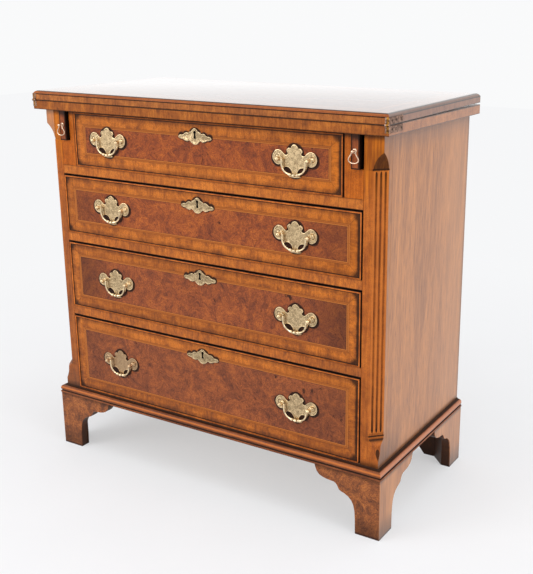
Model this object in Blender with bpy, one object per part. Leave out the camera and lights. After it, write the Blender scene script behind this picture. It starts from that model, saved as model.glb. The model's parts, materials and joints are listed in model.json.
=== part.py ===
"""Bachelors chest: four drawers on bracket feet under a fold-over top, in metres, +Z up, front toward -Y.

Pieces are laid out in the chest's own frame: x from the middle to the right, y back from the front plane of
the carcass, z up from the floor. One root empty moves that frame back so that the whole chest is centred.
"""
import math

import bmesh
import bpy
from mathutils import Matrix, Vector

# Driving dimensions of the carcass
CARCASS_WIDTH = 0.749
CARCASS_DEPTH = 0.358
FOOT_HEIGHT = 0.1167
DRAWER_BAY_HEIGHTS = (0.108, 0.1193, 0.139, 0.1637)
RAIL_THICKNESS = 0.018
BOTTOM_THICKNESS = 0.0187
SIDE_THICKNESS = 0.018
BACK_THICKNESS = 0.008

# Fold-over top
LEAF_THICKNESS = 0.0175
LEAF_SIDE_OVERHANG = 0.0155
LEAF_FRONT_OVERHANG = 0.016
LEAF_BACK_OVERHANG = 0.011
LEAF_LIFT = math.radians(0.45)

# Seams between touching pieces, and how far a cutter runs past what it cuts
SEAM = 0.0003
OVERRUN = 0.005

# Corner posts
POST_WIDTH = 0.0365
POST_DEPTH = 0.030
CHAMFER_LEG = 0.0205
EDGE_EASE = 0.0006
UPPER_TIP_DROP = 0.0277
UPPER_TONGUE = 0.0275
LOWER_TIP_RISE = 0.031
LOWER_TONGUE = 0.042
STOP_GROOVE_WIDTH = 0.003
STOP_GROOVE_DEPTH = 0.0015
STOP_GROOVE_SLOPE = 0.0005
FLUTE_WIDTH = 0.0044
FLUTE_DEPTH = 0.0014
FLUTE_PITCH = 0.0079
FLUTE_COUNT = 3
FLUTE_TAPER = 0.006
FLUTE_TOP_GAP = 0.0015
FLUTE_BOTTOM_GAP = 0.010
UPPER_TONGUE_SHARES = ((0.0, 0.0), (0.13, 0.24), (0.32, 0.5), (0.56, 0.73), (0.8, 0.86), (1.0, 0.91))
LOWER_TONGUE_SHARES = (
    (0.0, 0.98), (0.08, 0.96), (0.15, 0.84), (0.22, 0.63), (0.3, 0.44), (0.39, 0.37),
    (0.53, 0.36), (0.68, 0.31), (0.82, 0.2), (0.93, 0.09), (1.0, 0.0))

# Lopers and their channels beside the top drawer
LOPER_WIDTH = 0.016
LOPER_HEIGHT = 0.0582
LOPER_PROUD = 0.0068
LOPER_INNER_GAP = 0.003
LOPER_OUTER_GAP = 0.005
LOPER_SIDE_CLEARANCE = 0.0008
LOPER_BACK_GAP = 0.015
STILE_WIDTH = 0.0125
STILE_DEPTH = 0.020
CHANNEL_FLOOR = 0.0155
CHANNEL_WALL = 0.010
CHANNEL_BACK_GAP = 0.010

# Drawers
DRAWER_SIDE_GAP = 0.0015
DRAWER_TOP_GAP = 0.0022
FRONT_THICKNESS = 0.018
COCKBEAD_WIDTH = 0.0032
COCKBEAD_PROUD = 0.0015
BOX_SIDE_THICKNESS = 0.009
BOX_BOTTOM_THICKNESS = 0.006
BOX_BOTTOM_RISE = 0.005
BOX_TOP_DROP = 0.012
BOX_BACK_GAP = 0.012
RAIL_DEPTH = 0.055
RUNNER_WIDTH = 0.060
DUST_BOARD_THICKNESS = 0.008
DUST_BOARD_BACK_RAIL = 0.035
GUIDE_HEIGHT = 0.012

# Card-table hinges in the ends of the leaves
HINGE_LENGTH = 0.047
HINGE_HEIGHT = 0.011
HINGE_PLATE = 0.0024
HINGE_PROUD = 0.0012
HINGE_EDGE = 0.0012
HINGE_WRAP = 0.0078
KNUCKLE_RADIUS = 0.0023
HINGE_PIN_RADIUS = 0.0009
HINGE_HOLE_RADIUS = 0.0013

# Brass on the drawers sits a little left of the middle, and handles a little above it on the upper drawers
BRASS_OFFSET = -0.004
HANDLE_RISES = (0.0026, 0.0026, 0.0003, 0.0)

# Handles: how far their middles are in from the top drawer's bay; the bail's right half as shares of its half
# width, drop and bead radius, from the middle to an arm; and the plate's outline as shares of half its width
# and its height, right half, from the top down
HANDLE_INSET = 0.09075
POST_SPACING = 0.060
PLATE_HALF_WIDTH = 0.0442
PLATE_HEIGHT = 0.0562
PLATE_THICKNESS = 0.0017
PIVOT_REACH = 0.006
BALL_REACH = 0.0102
BALL_RADIUS = 0.0038
POST_RADIUS = 0.0029
COLLAR_RADIUS = 0.0045
COLLAR_HEIGHT = 0.0012
PIVOT_HOLE_RADIUS = 0.0013
BAIL_PIN_RADIUS = 0.00095
BAIL_BEAD_RADIUS = 0.0028
BAIL_HALF_WIDTH = 0.0238
BAIL_DROP = 0.0265
BAIL_PIN_REACH = 0.0013
BAIL_SHARES = (
    (0.0, 1.0, 1.0), (0.1, 0.996, 0.85), (0.16, 0.99, 0.5), (0.24, 0.978, 0.88), (0.36, 0.955, 1.0),
    (0.6, 0.88, 0.63), (0.8, 0.75, 0.63), (0.94, 0.55, 0.63), (1.0, 0.27, 0.63), (0.99, 0.066, 0.63),
    (1.02, 0.02, 0.59))
PLATE_SHARES = (
    (0.0, 0.445), (0.06, 0.436), (0.118, 0.402), (0.163, 0.36), (0.188, 0.326), (0.25, 0.338),
    (0.33, 0.302), (0.355, 0.26), (0.339, 0.219), (0.299, 0.175), (0.33, 0.133), (0.389, 0.116),
    (0.457, 0.135), (0.593, 0.228), (0.679, 0.256), (0.769, 0.262), (0.86, 0.237), (0.934, 0.181),
    (0.984, 0.107), (1.0, 0.027), (0.98, -0.053), (0.923, -0.125), (0.837, -0.174), (0.747, -0.192),
    (0.661, -0.181), (0.602, -0.146), (0.552, -0.231), (0.511, -0.288), (0.466, -0.267), (0.373, -0.244),
    (0.271, -0.26), (0.195, -0.301), (0.143, -0.359), (0.12, -0.423), (0.14, -0.463), (0.204, -0.484),
    (0.271, -0.52), (0.217, -0.541), (0.113, -0.55), (0.0, -0.555))

# Escutcheons: outline as shares of half the width and of the height, right half, from the top down
ESCUTCHEON_HALF_WIDTH = 0.0373
ESCUTCHEON_HEIGHT = 0.0292
ESCUTCHEON_THICKNESS = 0.0015
ESCUTCHEON_DROP = 0.026
KEYHOLE_HEIGHT = 0.0145
KEYHOLE_HEAD_RADIUS = 0.0026
KEYHOLE_FOOT_RADIUS = 0.0022
KEYHOLE_WAIST = 0.0013
ESCUTCHEON_SHARES = (
    (0.0, 0.397), (0.06, 0.385), (0.12, 0.329), (0.188, 0.24), (0.25, 0.19), (0.335, 0.158),
    (0.382, 0.082), (0.44, 0.103), (0.52, 0.11), (0.61, 0.065), (0.69, -0.017), (0.76, -0.045),
    (0.86, -0.048), (0.945, -0.082), (1.0, -0.165), (0.965, -0.24), (0.88, -0.285), (0.72, -0.315),
    (0.64, -0.375), (0.55, -0.41), (0.45, -0.42), (0.36, -0.362), (0.28, -0.405), (0.2, -0.5),
    (0.11, -0.575), (0.0, -0.603))

# Drawer locks
LOCK_WIDTH = 0.058
LOCK_DEPTH = 0.0097
LOCK_BELOW_KEY = 0.018
LOCK_KEYWAY_DEPTH = 0.006

# Loper knobs and drop rings
ROSETTE_RADIUS = 0.004
ROSETTE_THICKNESS = 0.0012
RING_POST_RADIUS = 0.0021
RING_POST_LENGTH = 0.0074
RING_BALL_RADIUS = 0.0027
RING_PIVOT_REACH = 0.0052
RING_HOLE_RADIUS = 0.0014
RING_WIRE_RADIUS = 0.00095
RING_HALF_WIDTH = 0.0093
RING_DROP = 0.0195
RING_PIVOT_DROP = 0.028
RING_SHARES = (
    (0.24, 0.0), (0.36, 0.04), (0.42, 0.14), (0.54, 0.3), (0.8, 0.47), (0.98, 0.64), (0.96, 0.8),
    (0.72, 0.92), (0.38, 0.985))

# Base moulding, as shares of its reach and height, from its lower outer corner up
MOULDING_REACH = 0.0105
MOULDING_HEIGHT = 0.0185
MOULDING_SHARES = (
    (1.0, 0.0), (1.0, 0.2), (0.86, 0.22), (0.8, 0.3), (0.9, 0.36), (0.96, 0.46), (0.95, 0.6),
    (0.86, 0.74), (0.7, 0.83), (0.52, 0.86), (0.34, 0.87), (0.16, 0.92), (0.06, 1.0))

# Bracket feet: inner edge as shares of the bracket beyond the leg and of the height, top to floor
FOOT_INSET = 0.001
LEG_WIDTH = 0.049
BRACKET_REACH = 0.134
BRACKET_THICKNESS = 0.018
REAR_LEG_WIDTH = 0.070
REAR_BRACKET_REACH = 0.165
REAR_BRACKET_SET_IN = 0.004
GLUE_BLOCK = 0.034
REAR_GLUE_BLOCK = 0.030
GLUE_BLOCK_LIFT = 0.001
BRACKET_SHARES = (
    (1.0, 1.0), (0.976, 0.943), (0.947, 0.891), (0.888, 0.844), (0.812, 0.818), (0.718, 0.801),
    (0.6, 0.793), (0.53, 0.79), (0.476, 0.771), (0.441, 0.741), (0.412, 0.698), (0.394, 0.677),
    (0.341, 0.656), (0.259, 0.638), (0.171, 0.604), (0.094, 0.548), (0.047, 0.48), (0.02, 0.392),
    (0.006, 0.257), (0.0, 0.0))
REAR_BRACKET_SHARES = ((1.0, 1.0), (0.0, 0.0))

# Edge moulding of the folding leaf: inset share of its width and fall share of its height
LEAF_MOULD_WIDTH = 0.0081
LEAF_MOULD_HEIGHT = 0.0047
LEAF_MOULD_SHARES = ((0.0, 1.0), (0.1, 1.0), (0.16, 0.7), (0.4, 0.3), (0.7, 0.07), (1.0, 0.0))

# Facets round turned pieces
ROUND_SEGMENTS = 8
BALL_RINGS = 4
BALL_END_ANGLE = math.radians(75)

# Sizes worked out from the ones above
half_width = CARCASS_WIDTH / 2
carcass_base = FOOT_HEIGHT + SEAM
bay_count = len(DRAWER_BAY_HEIGHTS)
bay_floors = []
level = carcass_base + BOTTOM_THICKNESS
for bay_height in reversed(DRAWER_BAY_HEIGHTS):
    bay_floors.insert(0, level)
    level += bay_height + RAIL_THICKNESS
carcass_top = level - RAIL_THICKNESS
bay_half = half_width - POST_WIDTH
side_inner = half_width - SIDE_THICKNESS
back_front = CARCASS_DEPTH - BACK_THICKNESS

loper_inner = bay_half - LOPER_OUTER_GAP - LOPER_WIDTH
loper_outer = loper_inner + LOPER_WIDTH
slot_inner = loper_inner - LOPER_INNER_GAP
top_bay_half = slot_inner - STILE_WIDTH
handle_half_spread = top_bay_half - HANDLE_INSET
loper_top = carcass_top
loper_bottom = loper_top - LOPER_HEIGHT
loper_back = back_front - LOPER_BACK_GAP
loper_middle = (loper_inner + loper_outer) / 2

leaf_half = half_width + LEAF_SIDE_OVERHANG
leaf_front = -LEAF_FRONT_OVERHANG
leaf_back = CARCASS_DEPTH + LEAF_BACK_OVERHANG
fixed_leaf_bottom = carcass_top + SEAM
fixed_leaf_top = fixed_leaf_bottom + LEAF_THICKNESS
folding_leaf_bottom = fixed_leaf_top + SEAM
folding_leaf_top = folding_leaf_bottom + LEAF_THICKNESS
pivot_y = leaf_front - SEAM / 2
pivot_z = fixed_leaf_top + SEAM / 2

front_reach = -(pivot_y - KNUCKLE_RADIUS)
front_plane_y = front_reach - (front_reach + leaf_back) / 2

WALNUT_FRONT = ((0.36, 0.13, 0.035), 0.32, 0.0)
WALNUT_SIDE = ((0.42, 0.21, 0.10), 0.35, 0.0)
BURR_FRONT = ((0.22, 0.07, 0.03), 0.28, 0.0)
SECONDARY_WOOD = ((0.45, 0.30, 0.16), 0.6, 0.0)
BRASS = ((0.72, 0.56, 0.30), 0.35, 1.0)
STEEL = ((0.30, 0.29, 0.28), 0.45, 1.0)


def clear_scene():
    """Remove everything that the new file came with."""
    for old in list(bpy.data.objects):
        bpy.data.objects.remove(old, do_unlink=True)


def finish(name, look):
    """Material of one piece: look is its colour, roughness and metallic value."""
    colour, roughness, metallic = look
    material = bpy.data.materials.new(name + "_finish")
    material.use_nodes = True
    shader = material.node_tree.nodes["Principled BSDF"]
    shader.inputs["Base Color"].default_value = (*colour, 1.0)
    shader.inputs["Roughness"].default_value = roughness
    shader.inputs["Metallic"].default_value = metallic
    return material


def piece(name, mesh, look, parent, place=Vector()):
    """One named object of the chest, at place under its parent."""
    made = bpy.data.objects.new(name, mesh)
    bpy.context.scene.collection.objects.link(made)
    made.parent = parent
    made.location = place
    if not mesh.materials:
        mesh.materials.append(finish(name, look))
    made.material_slots[0].link = "OBJECT"
    made.material_slots[0].material = finish(name, look)
    return made


def pivot(name, place, parent):
    """Empty on a joint's axis, for the pieces that move with that joint."""
    empty = bpy.data.objects.new(name, None)
    bpy.context.scene.collection.objects.link(empty)
    empty.parent = parent
    empty.location = place
    return empty


def closed_mesh(bm, smooth_angle=None):
    """Mesh of a closed body, its faces pointing out; round pieces are shaded smooth below smooth_angle."""
    bmesh.ops.recalc_face_normals(bm, faces=bm.faces)
    mesh = bpy.data.meshes.new("body")
    bm.to_mesh(mesh)
    bm.free()
    if smooth_angle is not None:
        mesh.shade_smooth()
        mesh.set_sharp_from_angle(angle=smooth_angle)
    return mesh


def block(x, y, z):
    """Rectangular board between the pairs of limits x, y and z."""
    bm = bmesh.new()
    bmesh.ops.create_cube(bm, size=1.0)
    for vert in bm.verts:
        for axis, (low, high) in enumerate((x, y, z)):
            vert.co[axis] = high if vert.co[axis] > 0 else low
    return closed_mesh(bm)


def rings_body(rings):
    """Closed body through rings of equally many points, capped at both ends."""
    bm = bmesh.new()
    grid = [[bm.verts.new(point) for point in ring] for ring in rings]
    for lower, upper in zip(grid, grid[1:]):
        for index in range(len(lower)):
            after = (index + 1) % len(lower)
            bm.faces.new((lower[index], lower[after], upper[after], upper[index]))
    bm.faces.new(grid[0])
    bm.faces.new(grid[-1])
    return bm


def prism(outline, axis, low, high):
    """Outline extruded along x, y or z from low to high; its points hold the other two coordinates."""
    def at(point, level):
        spread = list(point)
        spread.insert("xyz".index(axis), level)
        return spread
    return closed_mesh(rings_body([[at(point, level) for point in outline] for level in (low, high)]))


def turned(profile, centre, axis):
    """Body turned round an axis through centre; profile holds pairs of radius and distance along it."""
    along = Vector(axis)
    across = along.orthogonal().normalized()
    side = along.cross(across)
    rings = []
    for radius, distance in profile:
        ring = []
        for step in range(ROUND_SEGMENTS):
            turn = 2 * math.pi * step / ROUND_SEGMENTS
            spoke = across * math.cos(turn) + side * math.sin(turn)
            ring.append(Vector(centre) + along * distance + spoke * radius)
        rings.append(ring)
    return closed_mesh(rings_body(rings), math.radians(40))


def ball_profile(radius, middle, start_angle, end_angle):
    """Profile points of a ball round middle, between two angles from its far pole's equator."""
    points = []
    for step in range(BALL_RINGS + 1):
        angle = start_angle + (end_angle - start_angle) * step / BALL_RINGS
        points.append((radius * math.cos(angle), middle + radius * math.sin(angle)))
    return points


def combined(base, tools, operation):
    """Mesh of base joined with, or cut by, each tool mesh in turn."""
    helper = bpy.data.objects.new("combined", base)
    bpy.context.scene.collection.objects.link(helper)
    spare = []
    for tool_mesh in tools:
        tool = bpy.data.objects.new("tool", tool_mesh)
        bpy.context.scene.collection.objects.link(tool)
        tool.display_type = "WIRE"
        tool.hide_render = True
        step = helper.modifiers.new("step", "BOOLEAN")
        step.operation = operation
        step.object = tool
        spare.append(tool)
    graph = bpy.context.evaluated_depsgraph_get()
    mesh = bpy.data.meshes.new_from_object(helper.evaluated_get(graph))
    for used in [helper, *spare]:
        bpy.data.objects.remove(used, do_unlink=True)
    return flat_faces_joined(mesh)


def flat_faces_joined(mesh):
    """The same body, with faces that lie in one plane joined into one."""
    bm = bmesh.new()
    bm.from_mesh(mesh)
    bmesh.ops.dissolve_limit(bm, angle_limit=math.radians(0.05), verts=bm.verts, edges=bm.edges)
    return closed_mesh(bm)


def joined(base, *tools):
    return combined(base, tools, "UNION")


def cut(base, *tools):
    return combined(base, tools, "DIFFERENCE")


def mirrored(mesh):
    """Copy of a mesh mirrored from right to left."""
    bm = bmesh.new()
    bm.from_mesh(mesh)
    bmesh.ops.transform(bm, matrix=Matrix.Scale(-1, 4, Vector((1, 0, 0))), verts=bm.verts)
    return closed_mesh(bm)


def both_sides(name, mesh, look, root):
    """Right and left copies of a fixed piece made for the right side."""
    piece("right_" + name, mesh, look, root)
    piece("left_" + name, mirrored(mesh), look, root)


def corner_post():
    """Right front post: its outer corner is chamfered, with lamb's tongues at both ends and three flutes."""
    upper_tip = carcass_top - UPPER_TIP_DROP
    lower_tip = carcass_base + LOWER_TIP_RISE
    levels = [(carcass_base, EDGE_EASE)]
    lower_start = lower_tip + LOWER_TONGUE
    for along, depth in reversed(LOWER_TONGUE_SHARES):
        levels.append((lower_start - along * LOWER_TONGUE, max(depth * CHAMFER_LEG, EDGE_EASE)))
    levels += groove_levels(lower_start)
    upper_start = upper_tip - UPPER_TONGUE
    levels += groove_levels(upper_start - STOP_GROOVE_WIDTH - 2 * STOP_GROOVE_SLOPE)
    for along, depth in reversed(UPPER_TONGUE_SHARES):
        levels.append((upper_tip - along * UPPER_TONGUE, max(depth * CHAMFER_LEG, EDGE_EASE)))
    levels.append((carcass_top, EDGE_EASE))
    rings = []
    for height, leg in levels:
        rings.append([
            (bay_half, POST_DEPTH, height), (bay_half, 0.0, height), (half_width - leg, 0.0, height),
            (half_width, leg, height), (half_width, POST_DEPTH, height)])
    body = closed_mesh(rings_body(rings))
    flute_radius = (FLUTE_WIDTH ** 2 / 4 + FLUTE_DEPTH ** 2) / (2 * FLUTE_DEPTH)
    outward = Vector((1, -1, 0)).normalized()
    along_face = Vector((1, 1, 0)).normalized()
    face_middle = Vector((half_width - CHAMFER_LEG / 2, CHAMFER_LEG / 2, 0))
    low = lower_start + STOP_GROOVE_WIDTH + FLUTE_BOTTOM_GAP
    high = upper_start - STOP_GROOVE_WIDTH - FLUTE_TOP_GAP
    cutters = []
    for number in range(FLUTE_COUNT):
        place = face_middle + outward * (flute_radius - FLUTE_DEPTH)
        place += along_face * FLUTE_PITCH * (number - (FLUTE_COUNT - 1) / 2)
        narrow = flute_radius - FLUTE_DEPTH - SEAM
        profile = ((narrow, low), (flute_radius, low + FLUTE_TAPER),
                   (flute_radius, high - FLUTE_TAPER), (narrow, high))
        cutters.append(turned(profile, place, (0, 0, 1)))
    return cut(body, *cutters)


def groove_levels(bottom):
    """Levels of a groove across the chamfer, from bottom up, between full chamfers."""
    deep = CHAMFER_LEG + STOP_GROOVE_DEPTH
    top = bottom + STOP_GROOVE_WIDTH
    return [(bottom + STOP_GROOVE_SLOPE, CHAMFER_LEG), (bottom + 2 * STOP_GROOVE_SLOPE, deep),
            (top, deep), (top + STOP_GROOVE_SLOPE, CHAMFER_LEG)]


def stepped_board(low, high):
    """Board between the posts and the side boards: narrow in front, wide behind the posts."""
    narrow = bay_half - SEAM
    wide = side_inner - SEAM
    behind = POST_DEPTH + SEAM
    back = back_front - SEAM
    outline = ((-narrow, 0.0), (narrow, 0.0), (narrow, behind), (wide, behind), (wide, back),
               (-wide, back), (-wide, behind), (-narrow, behind))
    return prism(outline, "z", low, high)


def drawer_guides(floor):
    """Strips that keep a drawer straight, on the runners beside it, set into the board below."""
    inner = bay_half + SEAM
    outer = side_inner - SEAM
    deep = (POST_DEPTH + 2 * SEAM, back_front - 2 * SEAM)
    height = (floor - SEAM, floor + GUIDE_HEIGHT)
    right = block((inner, outer - SEAM), deep, height)
    return right, mirrored(right)


def dust_frame(floor):
    """Rail, runners, back rail and dust board below one drawer, glued up as one frame."""
    frame = stepped_board(floor - RAIL_THICKNESS, floor)
    panel_half = side_inner - RUNNER_WIDTH
    deep = (RAIL_DEPTH, back_front - DUST_BOARD_BACK_RAIL)
    recess = (RAIL_THICKNESS - DUST_BOARD_THICKNESS) / 2
    above = block((-panel_half, panel_half), deep, (floor - recess, floor + OVERRUN))
    underside = floor - RAIL_THICKNESS
    below = block((-panel_half, panel_half), deep, (underside - OVERRUN, underside + recess))
    return cut(frame, above, below)


def carcass_frames(root):
    """Bottom board and the dust frames, with guides where a drawer fills the whole bay."""
    bottom = stepped_board(carcass_base, bay_floors[-1])
    piece("bottom_board", joined(bottom, *drawer_guides(bay_floors[-1])), SECONDARY_WOOD, root)
    for number in range(bay_count - 1):
        frame = dust_frame(bay_floors[number])
        if number > 0:
            frame = joined(frame, *drawer_guides(bay_floors[number]))
        piece("rail_%d" % (number + 1), frame, WALNUT_FRONT, root)


def loper_channel():
    """Right stile beside the top drawer and the channel behind it in which the loper slides."""
    low = bay_floors[0] + SEAM
    post_face = bay_half - SEAM
    floor = loper_bottom - SEAM
    back = back_front - CHANNEL_BACK_GAP
    wall_inner = loper_inner - LOPER_SIDE_CLEARANCE
    wall_outer = loper_outer + LOPER_SIDE_CLEARANCE
    stile = prism(((top_bay_half, low), (post_face, low), (post_face, floor), (slot_inner, floor),
                   (slot_inner, carcass_top), (top_bay_half, carcass_top)), "y", 0.0, STILE_DEPTH)
    partition = block((top_bay_half, wall_inner), (STILE_DEPTH - SEAM, back), (low, carcass_top))
    behind = POST_DEPTH + SEAM
    rear_wall = block((wall_outer, wall_outer + CHANNEL_WALL), (behind, back), (floor - SEAM, carcass_top))
    bed_height = (floor - CHANNEL_FLOOR, floor)
    bed = block((wall_inner - SEAM, wall_outer + CHANNEL_WALL), (behind, back), bed_height)
    bed_front = block((wall_inner - SEAM, post_face), (STILE_DEPTH - SEAM, behind + SEAM), bed_height)
    return joined(stile, partition, bed_front, bed, rear_wall)


def base_moulding():
    """Moulding round the front and both sides of the carcass, mitred at the front corners."""
    inner = SEAM
    profile = [(inner, 0.0)]
    for reach, height in MOULDING_SHARES:
        profile.append((max(reach * MOULDING_REACH, 2 * SEAM), height * MOULDING_HEIGHT))
    profile.append((inner, MOULDING_HEIGHT))
    rings = []
    for side, at_back in ((-1, True), (-1, False), (1, False), (1, True)):
        ring = []
        for reach, height in profile:
            y = CARCASS_DEPTH if at_back else -reach
            ring.append((side * (half_width + reach), y, carcass_base + height))
        rings.append(ring)
    return closed_mesh(rings_body(rings))


def bracket(shares, reach, leg):
    """Outline of one bracket, as pairs of distance from the outer corner and height."""
    outline = [(0.0, 0.0), (0.0, FOOT_HEIGHT)]
    for along, height in shares:
        outline.append((leg + along * (reach - leg), height * FOOT_HEIGHT))
    return outline


def foot(at_back):
    """Right front or rear foot: two brackets that meet at the corner, and a three-cornered glue block."""
    outer = half_width + MOULDING_REACH - FOOT_INSET
    front = -(MOULDING_REACH - FOOT_INSET)
    corner = CARCASS_DEPTH if at_back else front
    inward = -1 if at_back else 1
    side_outline = bracket(BRACKET_SHARES, BRACKET_REACH, LEG_WIDTH)
    side_bracket = prism([(corner + inward * away, z) for away, z in side_outline], "x",
                         outer - BRACKET_THICKNESS, outer)
    if at_back:
        face = corner - REAR_BRACKET_SET_IN
        cross_outline = bracket(REAR_BRACKET_SHARES, REAR_BRACKET_REACH, REAR_LEG_WIDTH)
        hidden = BRACKET_THICKNESS / 2
        cross_outline = [(max(away, hidden), z) for away, z in cross_outline]
    else:
        face = corner
        cross_outline = side_outline
    cross_limits = sorted((face, face + inward * BRACKET_THICKNESS))
    cross_bracket = prism([(outer - away, z) for away, z in cross_outline], "y", *cross_limits)
    inner_x = outer - BRACKET_THICKNESS
    inner_y = face + inward * BRACKET_THICKNESS
    glued_x = inner_x + SEAM
    glued_y = inner_y - inward * SEAM
    size = REAR_GLUE_BLOCK if at_back else GLUE_BLOCK
    glue = prism(((glued_x, glued_y), (glued_x - size, glued_y), (glued_x, glued_y + inward * size)), "z",
                 GLUE_BLOCK_LIFT, FOOT_HEIGHT - SEAM)
    return joined(cross_bracket, side_bracket, glue)


def hinge_places(upper):
    """Limits of one right hinge half: its strap on the leaf's end and its wrap round the front corner."""
    if upper:
        z = (folding_leaf_bottom + HINGE_EDGE, folding_leaf_bottom + HINGE_EDGE + HINGE_HEIGHT)
    else:
        z = (fixed_leaf_top - HINGE_EDGE - HINGE_HEIGHT, fixed_leaf_top - HINGE_EDGE)
    outer = leaf_half + HINGE_PROUD
    strap = ((outer - HINGE_PLATE, outer), (leaf_front, leaf_front + HINGE_LENGTH), z)
    wrap = ((leaf_half - HINGE_WRAP, outer), (leaf_front, leaf_front + HINGE_PLATE), z)
    return strap, wrap


def grown(limits, margin):
    """The same limits, moved out by margin on every side."""
    return tuple((low - margin, high + margin) for low, high in limits)


def rod(radius, low, high):
    """Rod along x on the hinge axis of the folding leaf."""
    return turned(((radius, low), (radius, high)), (0, pivot_y, pivot_z), (1, 0, 0))


def leaf_with_recesses(body, upper):
    """Leaf cut at both ends for its hinge halves and for the knuckles on the joint's axis."""
    strap, wrap = hinge_places(upper)
    past = leaf_half + HINGE_PROUD + OVERRUN
    strap_room = grown(strap, SEAM)
    wrap_room = grown(wrap, SEAM)
    knuckle_room = rod(KNUCKLE_RADIUS + 2 * SEAM, leaf_half - HINGE_WRAP - SEAM, past)
    cutters = [block((room[0][0], past), *room[1:]) for room in (strap_room, wrap_room)]
    cutters.append(knuckle_room)
    cutters += [mirrored(cutter) for cutter in cutters]
    return cut(body, *cutters)


def hinge_half(upper):
    """Right hinge half: strap along the leaf's end, wrap round its front corner, and one knuckle."""
    strap, wrap = hinge_places(upper)
    inner = leaf_half - HINGE_WRAP
    outer = leaf_half + HINGE_PROUD
    middle = (inner + outer) / 2
    body = joined(block(*strap), block(*wrap))
    if upper:
        others = rod(KNUCKLE_RADIUS + 2 * SEAM, inner - OVERRUN, middle + SEAM / 2)
        knuckle = rod(KNUCKLE_RADIUS, middle + SEAM / 2, outer)
        hole = rod(HINGE_HOLE_RADIUS, middle - OVERRUN, outer + OVERRUN)
        return cut(joined(cut(body, others), knuckle), hole)
    others = rod(KNUCKLE_RADIUS + 2 * SEAM, middle - SEAM / 2, outer + OVERRUN)
    knuckle = rod(KNUCKLE_RADIUS, inner, middle - SEAM / 2)
    pin = rod(HINGE_PIN_RADIUS, middle - HINGE_PLATE, outer)
    return joined(cut(body, others), knuckle, pin)


def fixed_leaf():
    body = block((-leaf_half, leaf_half), (leaf_front, leaf_back), (fixed_leaf_bottom, fixed_leaf_top))
    return leaf_with_recesses(body, False)


def folding_leaf():
    """Upper leaf, with a moulding worked round its top edge."""
    arris = folding_leaf_top - LEAF_MOULD_HEIGHT
    steps = [(0.0, folding_leaf_bottom)]
    for inset, fall in LEAF_MOULD_SHARES:
        steps.append((inset * LEAF_MOULD_WIDTH, folding_leaf_top - fall * LEAF_MOULD_HEIGHT))
    rings = []
    for inset, height in steps:
        x = leaf_half - inset
        rings.append([(-x, leaf_front + inset, height), (x, leaf_front + inset, height),
                      (x, leaf_back - inset, height), (-x, leaf_back - inset, height)])
    return leaf_with_recesses(closed_mesh(rings_body(rings)), True)


def fold_over_top(root):
    """Both leaves and their hinges; the folding leaf rests slightly raised at the back."""
    piece("fixed_leaf", fixed_leaf(), WALNUT_FRONT, root)
    both_sides("hinge_lower", hinge_half(False), BRASS, root)
    axis = pivot("folding_leaf_axis", Vector((0, pivot_y, pivot_z)), root)
    axis.rotation_euler.x = LEAF_LIFT
    offset = Vector((0, -pivot_y, -pivot_z))
    upper = hinge_half(True)
    piece("folding_leaf", folding_leaf(), WALNUT_FRONT, axis, offset)
    piece("right_hinge_upper", upper, BRASS, axis, offset)
    piece("left_hinge_upper", mirrored(upper), BRASS, axis, offset)


def swept_wire(points, radii, closed_path=False):
    """Wire of round section along points in the plane y = 0, with a radius at each point."""
    curve = bpy.data.curves.new("wire", "CURVE")
    curve.dimensions = "3D"
    curve.bevel_depth = 1.0
    curve.bevel_resolution = 1
    curve.use_fill_caps = True
    spline = curve.splines.new("POLY")
    spline.points.add(len(points) - 1)
    spline.use_cyclic_u = closed_path
    for knot, (x, z), radius in zip(spline.points, points, radii):
        knot.co = (x, 0.0, z, 1.0)
        knot.radius = radius
    helper = bpy.data.objects.new("wire", curve)
    bpy.context.scene.collection.objects.link(helper)
    graph = bpy.context.evaluated_depsgraph_get()
    mesh = bpy.data.meshes.new_from_object(helper.evaluated_get(graph))
    bpy.data.objects.remove(helper, do_unlink=True)
    bm = bmesh.new()
    bm.from_mesh(mesh)
    bmesh.ops.remove_doubles(bm, verts=bm.verts, dist=SEAM / 30)
    return closed_mesh(bm, math.radians(50))


def bail_mesh():
    """Swan-neck bail, its origin midway between the pins: arms, thickened ends and a bead in the middle."""
    end = POST_SPACING / 2 + BAIL_PIN_REACH
    stub = POST_SPACING / 2 - POST_RADIUS - SEAM
    half = []
    for across, down, thickness in BAIL_SHARES:
        half.append((across * BAIL_HALF_WIDTH, -down * BAIL_DROP, thickness * BAIL_BEAD_RADIUS))
    half += [((BAIL_HALF_WIDTH + stub) / 2, 0.0, BAIL_PIN_RADIUS), (stub, 0.0, BAIL_PIN_RADIUS),
             (end, 0.0, BAIL_PIN_RADIUS)]
    left = [(-x, z, radius) for x, z, radius in reversed(half[1:])]
    whole = left + half
    return swept_wire([(x, z) for x, z, radius in whole], [radius for x, z, radius in whole])


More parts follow.
